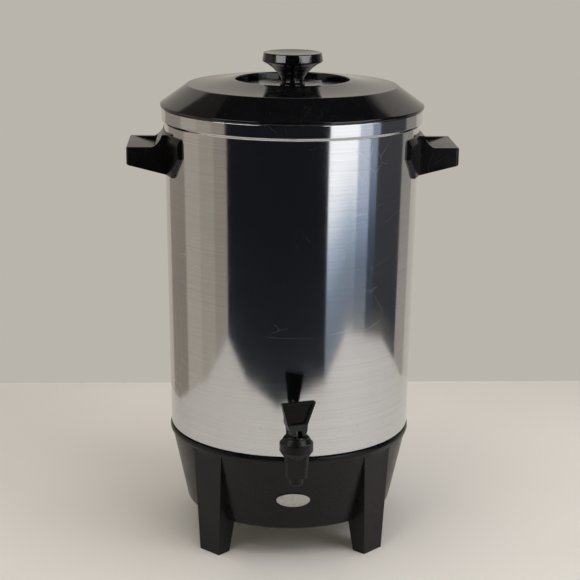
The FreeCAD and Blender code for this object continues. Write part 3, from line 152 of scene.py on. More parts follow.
def polishedAluminium():
    # Spun and polished sheet: a mirror with brush lines round the wall, hairline scratches and small pits
    s = {"line": 0.75, "run": 160.0, "fineLine": 0.45, "fineRun": 45.0, "cloud": 70.0, "cloudHigh": 45.0,
         "wave": 60.0, "waveHigh": 84.0, "pit": 1.4, "pitLow": 110.0, "pitTop": 165.0,
         "bright": "#d5d6d8", "dull": "#c9cbce", "scratch": "#f0f0f0", "pitTone": "#6b5a48",
         "roughLow": 0.06, "roughHigh": 0.10, "cloudRough": 0.03, "scratchRough": 0.2,
         "lineDepth": 0.0008, "waveDepth": 0.03, "scratchDepth": 0.006}
    surface, tree, shader, place = newSurface("polishedAluminium")
    lines = addNode(tree, "ShaderNodeMapping", {
        "Vector": place, "Scale": perMm(s["run"], s["run"], s["line"])}, "Vector")
    lines = addNode(tree, "ShaderNodeTexNoise", {
        "Vector": lines, "Scale": 1.0, "Detail": 4.0, "Roughness": 0.6}, "Fac")
    fine = addNode(tree, "ShaderNodeMapping", {
        "Vector": place, "Scale": perMm(s["fineRun"], s["fineRun"], s["fineLine"])}, "Vector")
    fine = addNode(tree, "ShaderNodeTexNoise", {
        "Vector": fine, "Scale": 1.0, "Detail": 2.0, "Roughness": 0.5}, "Fac")
    brushed = addNode(tree, "ShaderNodeMix", {0: 0.35, 2: lines, 3: fine}, 0, data_type="FLOAT")
    worn = addNode(tree, "ShaderNodeMapping", {
        "Vector": place, "Scale": perMm(s["cloud"], s["cloud"], s["cloudHigh"])}, "Vector")
    worn = addNode(tree, "ShaderNodeTexNoise", {
        "Vector": worn, "Scale": 1.0, "Detail": 3.0, "Roughness": 0.6, "Distortion": 0.4}, "Fac")
    worn = addNode(tree, "ShaderNodeMapRange", {
        "Value": worn, "From Min": 0.35, "From Max": 0.7, "To Max": s["cloudRough"]}, "Result")
    scratch = addNode(tree, "ShaderNodeMath", {
        0: scratchLines(tree, place, (16, 16, 70), 0.10, (12, 24, 0), 60),
        1: scratchLines(tree, place, (60, 60, 14), 0.07, (-18, 9, 30), 45)}, "Value", operation="MAXIMUM")
    specks = addNode(tree, "ShaderNodeMapping", {
        "Vector": place, "Scale": perMm(s["pit"], s["pit"], s["pit"])}, "Vector")
    specks = addNode(tree, "ShaderNodeTexNoise", {
        "Vector": specks, "Scale": 1.0, "Detail": 2.0, "Roughness": 0.7}, "Fac")
    specks = addNode(tree, "ShaderNodeMapRange", {"Value": specks, "From Min": 0.66, "From Max": 0.74}, "Result")
    height = addNode(tree, "ShaderNodeSeparateXYZ", {"Vector": place}, "Z")
    low = addNode(tree, "ShaderNodeMapRange", {
        "Value": height, "From Min": s["pitLow"] * mm, "From Max": s["pitTop"] * mm, "To Min": 0.7, "To Max": 0.0},
        "Result")
    pits = addNode(tree, "ShaderNodeMath", {0: specks, 1: low}, "Value", operation="MULTIPLY")
    sheen = addNode(tree, "ShaderNodeMapRange", {"Value": brushed, "From Min": 0.35, "From Max": 0.65}, "Result")
    tone = addNode(tree, "ShaderNodeMix", {
        0: sheen, 6: linear(s["bright"]), 7: linear(s["dull"])}, 2, data_type="RGBA")
    lit = addNode(tree, "ShaderNodeMath", {0: scratch, 1: 0.5}, "Value", operation="MULTIPLY")
    tone = addNode(tree, "ShaderNodeMix", {0: lit, 6: tone, 7: linear(s["scratch"])}, 2, data_type="RGBA")
    tone = addNode(tree, "ShaderNodeMix", {0: pits, 6: tone, 7: linear(s["pitTone"])}, 2, data_type="RGBA")
    rough = addNode(tree, "ShaderNodeMapRange", {
        "Value": brushed, "From Min": 0.3, "From Max": 0.7, "To Min": s["roughLow"], "To Max": s["roughHigh"]},
        "Result")
    rough = addNode(tree, "ShaderNodeMath", {0: rough, 1: worn}, "Value", operation="ADD")
    rough = addNode(tree, "ShaderNodeMath", {
        0: scratch, 1: s["scratchRough"], 2: rough}, "Value", operation="MULTIPLY_ADD")
    waves = addNode(tree, "ShaderNodeMapping", {
        "Vector": place, "Scale": perMm(s["wave"], s["wave"], s["waveHigh"])}, "Vector")
    waves = addNode(tree, "ShaderNodeTexNoise", {
        "Vector": waves, "Scale": 1.0, "Detail": 1.0, "Roughness": 0.4}, "Fac")
    bump = addNode(tree, "ShaderNodeBump", {
        "Height": waves, "Distance": s["waveDepth"] * mm, "Strength": 1.0}, "Normal")
    bump = addNode(tree, "ShaderNodeBump", {
        "Height": brushed, "Distance": s["lineDepth"] * mm, "Strength": 1.0, "Normal": bump}, "Normal")
    bump = addNode(tree, "ShaderNodeBump", {
        "Height": scratch, "Distance": s["scratchDepth"] * mm, "Strength": 1.0, "Normal": bump}, "Normal", invert=True)
    setInputs(tree, shader, {"Base Color": tone, "Metallic": 1.0, "Roughness": rough, "Normal": bump})
    return surface


def spunAluminium(name, bright, dull, low, high):
    # Unpolished spun sheet: fine turning rings, with a dull bloom where coffee and lime have dried
    surface, tree, shader, place = newSurface(name)
    rings = addNode(tree, "ShaderNodeMapping", {"Vector": place, "Scale": perMm(25, 25, 0.8)}, "Vector")
    rings = addNode(tree, "ShaderNodeTexNoise", {
        "Vector": rings, "Scale": 1.0, "Detail": 3.0, "Roughness": 0.6}, "Fac")
    bloom = addNode(tree, "ShaderNodeMapping", {"Vector": place, "Scale": perMm(22, 22, 22)}, "Vector")
    bloom = addNode(tree, "ShaderNodeTexNoise", {
        "Vector": bloom, "Scale": 1.0, "Detail": 4.0, "Roughness": 0.6, "Distortion": 0.6}, "Fac")
    turned = addNode(tree, "ShaderNodeMapRange", {"Value": rings, "From Min": 0.35, "From Max": 0.65}, "Result")
    stain = addNode(tree, "ShaderNodeMapRange", {
        "Value": bloom, "From Min": 0.45, "From Max": 0.7, "To Max": 0.35}, "Result")
    tone = addNode(tree, "ShaderNodeMix", {0: turned, 6: linear(bright), 7: linear(dull)}, 2, data_type="RGBA")
    tone = addNode(tree, "ShaderNodeMix", {0: stain, 6: tone, 7: linear("#8a7d6c")}, 2, data_type="RGBA")
    rough = addNode(tree, "ShaderNodeMapRange", {
        "Value": bloom, "From Min": 0.3, "From Max": 0.7, "To Min": low, "To Max": high}, "Result")
    bump = addNode(tree, "ShaderNodeBump", {"Height": rings, "Distance": 0.004 * mm, "Strength": 1.0}, "Normal")
    setInputs(tree, shader, {"Base Color": tone, "Metallic": 1.0, "Roughness": rough, "Normal": bump})
    return surface


def phenolic(name, s):
    # Moulded phenolic: hard black resin with a slight orange peel, dust in the pores and fine wiping marks
    surface, tree, shader, place = newSurface(name)
    cloud = addNode(tree, "ShaderNodeMapping", {"Vector": place, "Scale": perMm(24, 24, 24)}, "Vector")
    cloud = addNode(tree, "ShaderNodeTexNoise", {
        "Vector": cloud, "Scale": 1.0, "Detail": 4.0, "Roughness": 0.6, "Distortion": 0.3}, "Fac")
    peel = addNode(tree, "ShaderNodeMapping", {
        "Vector": place, "Scale": perMm(s["peel"], s["peel"], s["peel"])}, "Vector")
    peel = addNode(tree, "ShaderNodeTexNoise", {"Vector": peel, "Scale": 1.0, "Detail": 2.0, "Roughness": 0.5}, "Fac")
    dust = addNode(tree, "ShaderNodeMapping", {
        "Vector": place, "Scale": perMm(s["speck"], s["speck"], s["speck"])}, "Vector")
    dust = addNode(tree, "ShaderNodeTexNoise", {"Vector": dust, "Scale": 1.0, "Detail": 2.0, "Roughness": 0.8}, "Fac")
    dust = addNode(tree, "ShaderNodeMapRange", {"Value": dust, "From Min": 0.68, "From Max": 0.76}, "Result")
    wiped = addNode(tree, "ShaderNodeMath", {
        0: scratchLines(tree, place, (30, 6, 9), 0.06, (20, 35, 15), 30), 1: 0.5}, "Value", operation="MULTIPLY")
    marks = addNode(tree, "ShaderNodeMath", {0: dust, 1: wiped}, "Value", operation="MAXIMUM")
    shade = addNode(tree, "ShaderNodeMapRange", {"Value": cloud, "From Min": 0.35, "From Max": 0.7}, "Result")
    tone = addNode(tree, "ShaderNodeMix", {
        0: shade, 6: linear(s["black"]), 7: linear(s["grey"])}, 2, data_type="RGBA")
    faint = addNode(tree, "ShaderNodeMath", {0: marks, 1: 0.6}, "Value", operation="MULTIPLY")
    tone = addNode(tree, "ShaderNodeMix", {0: faint, 6: tone, 7: linear(s["dust"])}, 2, data_type="RGBA")
    rough = addNode(tree, "ShaderNodeMapRange", {
        "Value": cloud, "From Min": 0.3, "From Max": 0.7, "To Min": s["low"], "To Max": s["high"]}, "Result")
    rough = addNode(tree, "ShaderNodeMath", {0: marks, 1: 0.2, 2: rough}, "Value", operation="MULTIPLY_ADD")
    bump = addNode(tree, "ShaderNodeBump", {
        "Height": peel, "Distance": s["depth"] * mm, "Strength": 1.0}, "Normal")
    bump = addNode(tree, "ShaderNodeBump", {
        "Height": marks, "Distance": 0.01 * mm, "Strength": 0.6, "Normal": bump}, "Normal", invert=True)
    setInputs(tree, shader, {"Base Color": tone, "Roughness": rough, "IOR": 1.55,
                             "Specular IOR Level": s["gloss"], "Normal": bump})
    return surface


def drawnSteel(name, bright, dull, low, high, run):
    # Drawn or plated steel: lengthwise draw marks and a few dull patches
    surface, tree, shader, place = newSurface(name)
    marks = addNode(tree, "ShaderNodeMapping", {"Vector": place, "Scale": perMm(*run)}, "Vector")
    marks = addNode(tree, "ShaderNodeTexNoise", {
        "Vector": marks, "Scale": 1.0, "Detail": 3.0, "Roughness": 0.6}, "Fac")
    dulled = addNode(tree, "ShaderNodeMapping", {"Vector": place, "Scale": perMm(6, 6, 6)}, "Vector")
    dulled = addNode(tree, "ShaderNodeTexNoise", {
        "Vector": dulled, "Scale": 1.0, "Detail": 3.0, "Roughness": 0.6}, "Fac")
    dulled = addNode(tree, "ShaderNodeMapRange", {"Value": dulled, "From Min": 0.4, "From Max": 0.65}, "Result")
    tone = addNode(tree, "ShaderNodeMix", {0: dulled, 6: linear(bright), 7: linear(dull)}, 2, data_type="RGBA")
    rough = addNode(tree, "ShaderNodeMapRange", {
        "Value": marks, "From Min": 0.3, "From Max": 0.7, "To Min": low, "To Max": high}, "Result")
    bump = addNode(tree, "ShaderNodeBump", {"Height": marks, "Distance": 0.003 * mm, "Strength": 1.0}, "Normal")
    setInputs(tree, shader, {"Base Color": tone, "Metallic": 1.0, "Roughness": rough, "Normal": bump})
    return surface


def satinNickel(name, bright, dirty):
    # Stamped plate with a satin nickel finish: fine even grain across the panel, dirt in the lower ground
    surface, tree, shader, place = newSurface(name)
    grain = addNode(tree, "ShaderNodeMapping", {"Vector": place, "Scale": perMm(3, 3, 0.25)}, "Vector")
    grain = addNode(tree, "ShaderNodeTexNoise", {
        "Vector": grain, "Scale": 1.0, "Detail": 3.0, "Roughness": 0.6}, "Fac")
    dirt = addNode(tree, "ShaderNodeMapping", {"Vector": place, "Scale": perMm(2.2, 2.2, 2.2)}, "Vector")
    dirt = addNode(tree, "ShaderNodeTexNoise", {"Vector": dirt, "Scale": 1.0, "Detail": 3.0, "Roughness": 0.6}, "Fac")
    dirt = addNode(tree, "ShaderNodeMapRange", {
        "Value": dirt, "From Min": 0.5, "From Max": 0.72, "To Max": 0.6}, "Result")
    tone = addNode(tree, "ShaderNodeMix", {0: dirt, 6: linear(bright), 7: linear(dirty)}, 2, data_type="RGBA")
    rough = addNode(tree, "ShaderNodeMapRange", {
        "Value": grain, "From Min": 0.3, "From Max": 0.7, "To Min": 0.24, "To Max": 0.4}, "Result")
    bump = addNode(tree, "ShaderNodeBump", {"Height": grain, "Distance": 0.006 * mm, "Strength": 1.0}, "Normal")
    setInputs(tree, shader, {"Base Color": tone, "Metallic": 1.0, "Roughness": rough, "Normal": bump})
    return surface


def softPlain(name, light, dark, low, high, grain, depth):
    # Non-metal small parts: moulded rubber, pressed ceramic or mica sheet, each with its own grain
    surface, tree, shader, place = newSurface(name)
    cloud = addNode(tree, "ShaderNodeMapping", {"Vector": place, "Scale": perMm(5, 5, 5)}, "Vector")
    cloud = addNode(tree, "ShaderNodeTexNoise", {
        "Vector": cloud, "Scale": 1.0, "Detail": 4.0, "Roughness": 0.6}, "Fac")
    cloud = addNode(tree, "ShaderNodeMapRange", {"Value": cloud, "From Min": 0.35, "From Max": 0.7}, "Result")
    pores = addNode(tree, "ShaderNodeMapping", {"Vector": place, "Scale": perMm(grain, grain, grain)}, "Vector")
    pores = addNode(tree, "ShaderNodeTexNoise", {
        "Vector": pores, "Scale": 1.0, "Detail": 2.0, "Roughness": 0.6}, "Fac")
    tone = addNode(tree, "ShaderNodeMix", {0: cloud, 6: linear(light), 7: linear(dark)}, 2, data_type="RGBA")
    rough = addNode(tree, "ShaderNodeMapRange", {
        "Value": pores, "From Min": 0.3, "From Max": 0.7, "To Min": low, "To Max": high}, "Result")
    bump = addNode(tree, "ShaderNodeBump", {"Height": pores, "Distance": depth * mm, "Strength": 1.0}, "Normal")
    setInputs(tree, shader, {"Base Color": tone, "Roughness": rough, "Normal": bump})
    return surface


def wovenSleeve(name, shade, light):
    # Glass braid over the leads: a fine diagonal weave, drawn a little coarse so that it shows
    surface, tree, shader, place = newSurface(name)
    strands = []
    for turn in (math.radians(35), math.radians(-35)):
        leaning = addNode(tree, "ShaderNodeMapping", {"Vector": place, "Rotation": (turn, turn, 0)}, "Vector")
        leaning = addNode(tree, "ShaderNodeMapping", {"Vector": leaning, "Scale": perMm(1.2, 1.2, 1.2)}, "Vector")
        strands.append(addNode(tree, "ShaderNodeTexWave", {
            "Vector": leaning, "Scale": 1.0, "Distortion": 0.4}, "Fac"))
    weave = addNode(tree, "ShaderNodeMath", {0: strands[0], 1: strands[1]}, "Value", operation="MAXIMUM")
    tone = addNode(tree, "ShaderNodeMix", {0: weave, 6: linear(shade), 7: linear(light)}, 2, data_type="RGBA")
    bump = addNode(tree, "ShaderNodeBump", {"Height": weave, "Distance": 0.05 * mm, "Strength": 1.0}, "Normal")
    setInputs(tree, shader, {"Base Color": tone, "Roughness": 0.8, "Normal": bump})
    return surface


lidPhenolic = {"black": "#050506", "grey": "#08080a", "dust": "#4a4844", "speck": 0.9, "peel": 1.4,
               "low": 0.06, "high": 0.10, "gloss": 0.5, "depth": 0.008}
handlePhenolic = {"black": "#050505", "grey": "#0b0b0b", "dust": "#4d4b47", "speck": 0.8, "peel": 1.4,
                  "low": 0.2, "high": 0.3, "gloss": 0.3, "depth": 0.008}
basePhenolic = {"black": "#060607", "grey": "#0d0d0e", "dust": "#504e4a", "speck": 1.0, "peel": 2.0,
                "low": 0.24, "high": 0.36, "gloss": 0.25, "depth": 0.012}
leverPhenolic = {**handlePhenolic, "low": 0.26, "high": 0.36, "gloss": 0.12}
surfaces = {
    "body": polishedAluminium(),
    "inner": spunAluminium("spunAluminium", "#c9cbcd", "#a9abac", 0.28, 0.42),
    "wellFloor": spunAluminium("wellAluminium", "#d2d3d3", "#bcbdbd", 0.2, 0.3),
    "lid": phenolic("polishedPhenolic", lidPhenolic),
    "handle": phenolic("handlePhenolic", handlePhenolic),
    "lever": phenolic("leverPhenolic", leverPhenolic),
    "base": phenolic("basePhenolic", basePhenolic),
    "steel": drawnSteel("drawnStainless", "#b9b9b6", "#9d9d9a", 0.16, 0.32, (0.4, 0.4, 30)),
    "plated": drawnSteel("zincPlatedSteel", "#b6b5ad", "#9a9788", 0.28, 0.45, (1, 1, 1)),
    "badge": satinNickel("satinNickel", "#bdbcb8", "#94918b"),
    "silicone": softPlain("mouldedSilicone", "#a9a59b", "#989388", 0.45, 0.6, 0.4, 0.01),
    "ceramic": softPlain("pressedCeramic", "#d2cdbf", "#c0baa9", 0.5, 0.7, 0.3, 0.012),
    "mica": softPlain("micaBand", "#8b8371", "#6f6856", 0.35, 0.6, 1.2, 0.02),
    "sleeve": wovenSleeve("glassBraid", "#8f8a7e", "#d6d1c4"),
}
print("materials made:", len(surfaces))


# Profiles and the tree that turns them on the urn's axis

def rounded(points, closed, steps=5, held=0.6):
    # corners are (radius, height) or (radius, height, round); a round corner becomes a short arc,
    # and points close to the ends of each long run keep it flat under smooth shading
    line = []
    count = len(points)
    for i, point in enumerate(points):
        corner = Vector(point[:2])
        size = point[2] if len(point) > 2 else 0.0
        if not size:
            line.append(corner)
            continue
        back = Vector(points[i - 1][:2]) - corner
        ahead = Vector(points[(i + 1) % count][:2]) - corner
        angle = back.angle(ahead)
        cut = min(size / math.tan(angle / 2), 0.48 * back.length, 0.48 * ahead.length)
        start = corner + back.normalized() * cut
        end = corner + ahead.normalized() * cut
        for k in range(steps + 1):
            t = k / steps
            line.append(start * (1 - t) ** 2 + corner * (2 * t * (1 - t)) + end * t ** 2)
    full = []
    for i, point in enumerate(line):
        full.append(point)
        run = line[(i + 1) % len(line)] - point
        if run.length > 4 * held and (closed or i + 1 < len(line)):
            full += [point + run.normalized() * held, point + run - run.normalized() * held]
    return full


def turningTree():
    # Geometry Nodes lathe: the object's edges are the profile, swept once round a tiny circle
    tree = bpy.data.node_groups.new("turnOnAxis", "GeometryNodeTree")
    tree.interface.new_socket("Profile", in_out="INPUT", socket_type="NodeSocketGeometry")
    for name, kind in (("Steps", "NodeSocketInt"), ("Core", "NodeSocketFloat"), ("Surface", "NodeSocketMaterial")):
        tree.interface.new_socket(name, in_out="INPUT", socket_type=kind)
    tree.interface.new_socket("Turned", in_out="OUTPUT", socket_type="NodeSocketGeometry")
    given = addNode(tree, "NodeGroupInput").outputs
    circle = addNode(tree, "GeometryNodeCurvePrimitiveCircle", {"Resolution": given["Steps"], "Radius": given["Core"]})
    level = addNode(tree, "GeometryNodeSetCurveNormal", {"Curve": circle.outputs["Curve"]}, mode="Z_UP")
    profile = addNode(tree, "GeometryNodeMeshToCurve", {"Mesh": given["Profile"]})
    swept = addNode(tree, "GeometryNodeCurveToMesh", {
        "Curve": level.outputs["Curve"], "Profile Curve": profile.outputs["Curve"]})
    welded = addNode(tree, "GeometryNodeMergeByDistance", {"Geometry": swept.outputs["Mesh"], "Distance": 1e-6})
    real = addNode(tree, "GeometryNodeRealizeInstances", {"Geometry": welded.outputs["Geometry"]})
    coated = addNode(tree, "GeometryNodeSetMaterial", {
        "Geometry": real.outputs["Geometry"], "Material": given["Surface"]})
    addNode(tree, "NodeGroupOutput", {"Turned": coated.outputs["Geometry"]})
    return tree


def inputKey(tree, name):
    for item in tree.interface.items_tree:
        if item.item_type == "SOCKET" and item.in_out == "INPUT" and item.name == name:
            return item.identifier
    raise KeyError(name)


turnOnAxis = turningTree()
coreRadius = 0.001           # the sweep's circle, taken off each radius


def plainMesh(piece):
    # what the modifiers make of a piece, as a mesh of its own
    bpy.context.view_layer.update()
    graph = bpy.context.evaluated_depsgraph_get()
    mesh = bpy.data.meshes.new_from_object(piece.evaluated_get(graph))
    bpy.data.objects.remove(piece)
    return mesh


def cleaned(mesh, sharp):
    work = bmesh.new()
    work.from_mesh(mesh)
    bmesh.ops.remove_doubles(work, verts=work.verts, dist=1e-6)
    bmesh.ops.dissolve_degenerate(work, edges=work.edges, dist=1e-7)
    bmesh.ops.recalc_face_normals(work, faces=work.faces)
    work.to_mesh(mesh)
    work.free()
    mesh.shade_smooth()
    mesh.set_sharp_from_angle(angle=math.radians(sharp))
    return mesh


def finished(name, mesh, surface, body, slot, *replaced):
    mesh.name = name
    piece = bpy.data.objects.new(name, mesh)
    bpy.context.scene.collection.objects.link(piece)
    mesh.materials.clear()
    mesh.materials.append(surface)
    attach(piece, body)
    if replaced:
        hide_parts(*replaced)
    print("piece", name, len(mesh.polygons), "faces")
    return piece


def turnedMesh(points, surface, steps=192, closed=True, centre=(0, 0), sharp=28):
    line = rounded(points, closed)
    edges = [(i, i + 1) for i in range(len(line) - 1)]
    if closed:
        edges.append((len(line) - 1, 0))
    mesh = bpy.data.meshes.new("profile")
    mesh.from_pydata([(p.x * mm - coreRadius, -p.y * mm, 0) for p in line], edges, [])
    piece = bpy.data.objects.new("profile", mesh)
    bpy.context.scene.collection.objects.link(piece)
    sweep = piece.modifiers.new("turn", "NODES")
    sweep.node_group = turnOnAxis
    sweep[inputKey(turnOnAxis, "Steps")] = steps
    sweep[inputKey(turnOnAxis, "Core")] = coreRadius
    sweep[inputKey(turnOnAxis, "Surface")] = surface
    made = cleaned(plainMesh(piece), sharp)
    made.transform(Matrix.Translation((centre[0] * mm, centre[1] * mm, 0)))
    return made


def softened(node, edge, sharp=32, steps=2):
    # a copy of a CAD node with its seams closed, its flat faces whole and its edges slightly rounded;
    # the normals follow the large faces, so that these stay flat to the eye
    mesh = nodes[node].data.copy()
    work = bmesh.new()
    work.from_mesh(mesh)
    bmesh.ops.remove_doubles(work, verts=work.verts, dist=2e-6)
    bmesh.ops.dissolve_limit(work, angle_limit=math.radians(0.5), verts=work.verts, edges=work.edges)
    work.to_mesh(mesh)
    work.free()
    mesh.shade_smooth()
    piece = bpy.data.objects.new("soft", mesh)
    bpy.context.scene.collection.objects.link(piece)
    bevel = piece.modifiers.new("edges", "BEVEL")
    bevel.width = edge * mm
    bevel.segments = steps
    bevel.limit_method = "ANGLE"
    bevel.angle_limit = math.radians(sharp)
    bevel.use_clamp_overlap = True
    even = piece.modifiers.new("even", "WEIGHTED_NORMAL")
    even.mode = "FACE_AREA"
    even.weight = 100
    even.keep_sharp = True
    return plainMesh(piece)


# Body shell

bodyLow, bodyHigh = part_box("urn_body")
bodySizes = {
    "bottomZ": bodyLow.z / mm,
    "rimZ": bodyHigh.z / mm,
    "bandRadius": bodyHigh.x / mm,
    "bandHeight": 9.8,
    "bandCurve": 1.7,
    "topRadius": 102.0,
    "bottomRadius": 98.0,
    "corner": 2.5,
    "innerBend": 1.0,
    "outerBend": 1.2,
    "sheet": 1.0,
    "floor": 1.2,
    "wellHole": 28.25,
    "steps": 320,
}


def makeBody(s):
    sheet = s["sheet"]
    bandZ = s["rimZ"] - s["bandHeight"]
    wallZ = bandZ - s["bandCurve"]
    floorZ = s["bottomZ"] + s["floor"]
    points = [
        (s["wellHole"], s["bottomZ"]),
        (s["bottomRadius"], s["bottomZ"], s["corner"]),
        (s["topRadius"], wallZ, s["outerBend"]),
        (s["bandRadius"], bandZ, s["innerBend"]),
        (s["bandRadius"], s["rimZ"], sheet * 0.48),
        (s["bandRadius"] - sheet, s["rimZ"], sheet * 0.48),
        (s["bandRadius"] - sheet, bandZ, s["outerBend"]),
        (s["topRadius"] - sheet, wallZ, s["innerBend"]),
        (s["bottomRadius"] - sheet, floorZ, s["corner"] - sheet),
        (s["wellHole"], floorZ),
    ]
    mesh = turnedMesh(points, surfaces["body"], s["steps"])
    return finished("urnShell", mesh, surfaces["body"], "urn", "polished_aluminium", "urn_body")


makeBody(bodySizes)


# Lid: phenolic ring, aluminium plate and knob

lidLow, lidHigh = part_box("lid_ring")
lidSizes = {
    "edgeRadius": lidHigh.x / mm,
    "edgeZ": lidLow.z / mm,
    "rimZ": lidHigh.z / mm,
    "shoulderRadius": 84.0,
    "shoulderDrop": 4.4,     # shoulder below the well's rim
    "sag": 0.7,              # hollow of the top ring
    "sagSteps": 12,
    "wellRadius": 45.6,
    "wellDepth": 5.9,
    "wellWall": 4.0,
    "wall": 3.2,
    "seatRadius": 102.0,
    "steps": 256,
}


def makeLidRing(s):
    shoulderZ = s["rimZ"] - s["shoulderDrop"]
    hollow = []
    for i in range(1, s["sagSteps"]):
        share = i / s["sagSteps"]
        radius = s["shoulderRadius"] + (s["wellRadius"] + 1.0 - s["shoulderRadius"]) * share
        level = shoulderZ + s["shoulderDrop"] * share
        hollow.append((radius, level - s["sag"] * 4 * share * (1 - share)))
    points = [
        (s["seatRadius"], s["edgeZ"]),
        (s["edgeRadius"] - 0.1, s["edgeZ"], 1.3),
        (s["edgeRadius"], s["edgeZ"] + 2.2, 0.7),
        (s["shoulderRadius"], shoulderZ, 1.8),
    ] + hollow + [
        (s["wellRadius"], s["rimZ"], 0.8),
        (s["wellRadius"] - 0.6, s["rimZ"] - s["wellDepth"]),
        (s["wellRadius"] + s["wellWall"], s["rimZ"] - s["wellDepth"]),
        (s["wellRadius"] + s["wellWall"], s["rimZ"] - s["wall"] - 0.8),
        (s["shoulderRadius"] - 1.0, shoulderZ - s["wall"]),
        (s["seatRadius"], s["edgeZ"] + 2.6),
    ]
    mesh = turnedMesh(points, surfaces["lid"], s["steps"])
    return finished("lidShell", mesh, surfaces["lid"], "lid", "black_phenolic", "lid_ring")


plateLow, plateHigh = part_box("lid_plate")
plateSizes = {
    "topZ": plateHigh.z / mm,
    "shelfZ": plateLow.z / mm + 0.9,
    "edgeRadius": plateHigh.x / mm,
    "sheet": 0.9,
    "step": 4.6,
    "wellEdge": 49.6,
    "ringEdge": 74.0,
    "shelfWidth": 4.1,
    "steps": 192,
}


def makeLidPlate(s):
    sheet = s["sheet"]
    levelZ = s["topZ"] - s["step"]
    shelfRadius = s["edgeRadius"] - s["shelfWidth"]
    points = [
        (0, s["topZ"] - sheet),
        (s["wellEdge"], s["topZ"] - sheet, 0.8),
        (s["wellEdge"] + 3.0, levelZ - sheet, 0.8),
        (s["ringEdge"], levelZ - sheet, 1.0),
        (shelfRadius, s["shelfZ"] - sheet, 1.0),
        (s["edgeRadius"], s["shelfZ"] - sheet, 0.2),
        (s["edgeRadius"], s["shelfZ"], 0.2),
        (shelfRadius, s["shelfZ"], 1.0),
        (s["ringEdge"] + 0.6, levelZ, 1.0),
        (s["wellEdge"] + 3.4, levelZ, 0.8),
        (s["wellEdge"] + 0.4, s["topZ"], 0.8),
        (0, s["topZ"]),
    ]
    mesh = turnedMesh(points, surfaces["wellFloor"], s["steps"], closed=False)
    return finished("lidPlate", mesh, surfaces["wellFloor"], "lid", "inner_aluminium", "lid_plate")


knobLow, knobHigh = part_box("lid_knob")
knobSizes = {
    "footZ": knobLow.z / mm,
    "topZ": knobHigh.z / mm,
    "radius": knobHigh.x / mm,
    "topRadius": 22.7,
    "footRadius": 10.2,
    "waistRadius": 8.7,
    "waistZ": 374.4,
    "neck": ((9.6, 377.2), (12.1, 380.8), (15.7, 384.5), (19.5, 387.3)),
    "underDrop": 7.6,
    "sideHeight": 6.8,
    "neckRound": 1.5,
    "dish": 1.7,
    "dishSteps": 8,
    "lip": 1.8,
    "steps": 160,
}


def makeKnob(s):
    underZ = s["topZ"] - s["underDrop"]
    dish = []
    for i in range(s["dishSteps"]):
        share = i / s["dishSteps"]
        radius = (s["topRadius"] - s["lip"] - 1.2) * (1 - share)
        dish.append((radius, s["topZ"] - 0.35 - (s["dish"] - 0.35) * math.sin(share * math.pi / 2)))
    points = [
        (0, s["footZ"]),
        (s["footRadius"], s["footZ"], 0.4),
        (s["footRadius"] - 0.2, s["footZ"] + 1.4, 0.8),
        (s["waistRadius"], s["waistZ"], 2.0),
    ] + [point + (s["neckRound"],) for point in s["neck"]] + [
        (s["radius"] - 1.2, underZ, 0.8),
        (s["radius"], s["topZ"] - s["sideHeight"], 0.5),
        (s["topRadius"] + 0.4, s["topZ"], 0.9),
        (s["topRadius"] - s["lip"], s["topZ"], 0.5),
    ] + dish + [(0, s["topZ"] - s["dish"])]
    mesh = turnedMesh(points, surfaces["lid"], s["steps"], closed=False)
    return finished("knobHead", mesh, surfaces["lid"], "lid", "black_phenolic", "lid_knob")


makeLidRing(lidSizes)
makeLidPlate(plateSizes)
makeKnob(knobSizes)


# Tap bonnet

bonnetLow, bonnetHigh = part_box("faucet_bonnet")
bonnetSizes = {
    "lowZ": bonnetLow.z / mm,
    "topZ": bonnetHigh.z / mm,
    "radius": bonnetHigh.x / mm,
    "centreY": (bonnetLow.y + bonnetHigh.y) / 2 / mm,
    "bandHeight": 6.3,
    "topRadius": 9.6,
    "neckRadius": 8.7,
    "stemRadius": 1.96,
    "roof": 3.0,
    "steps": 128,
}


def makeBonnet(s):
    bandZ = s["lowZ"] + s["bandHeight"]
    points = [
        (s["neckRadius"], s["lowZ"]),
        (s["radius"], s["lowZ"], 0.5),
        (s["radius"], bandZ, 0.9),
        (s["radius"] - 0.9, bandZ + 0.2, 0.4),
        (s["topRadius"], s["topZ"], 0.7),
        (s["stemRadius"], s["topZ"], 0.3),
        (s["stemRadius"], s["topZ"] - s["roof"]),
        (s["neckRadius"], s["topZ"] - s["roof"]),
    ]
    mesh = turnedMesh(points, surfaces["base"], s["steps"], centre=(0, s["centreY"]))
    return finished("tapBonnet", mesh, surfaces["base"], "urn", "black_phenolic", "faucet_bonnet")


makeBonnet(bonnetSizes)


# Return spring, which the stem shortens against the bonnet as it lifts in the real tap; here a copy of the CAD node
# with a mesh of its own


def makeSpring():
    mesh = cleaned(nodes["faucet_spring"].data.copy(), 40)
    spring = finished("returnSpring", mesh, surfaces["steel"], "urn", "stainless_steel", "faucet_spring")
    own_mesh(spring)


makeSpring()


# Moulded pieces that keep the CAD form with softer edges

softPieces = [
    # name, node, body, surface, slot, edge
    ("baseMoulding", "base", "urn", "base", "black_phenolic", 0.5),
    ("gripLeft", "handle_left", "urn", "handle", "black_phenolic", 0.45),
    ("gripRight", "handle_right", "urn", "handle", "black_phenolic", 0.45),
    ("tapColumn", "faucet_body", "urn", "base", "black_phenolic", 0.3),
    ("tapPaddle", "lever", "tap_lever", "lever", "black_phenolic", 0.3),
    ("badgePlate", "badge", "urn", "badge", "badge_metal", 0.12),
]
for name, node, body, surface, slot, edge in softPieces:
    finished(name, softened(node, edge), surfaces[surface], body, slot, node)


# Finishes of the CAD nodes that stay as they are

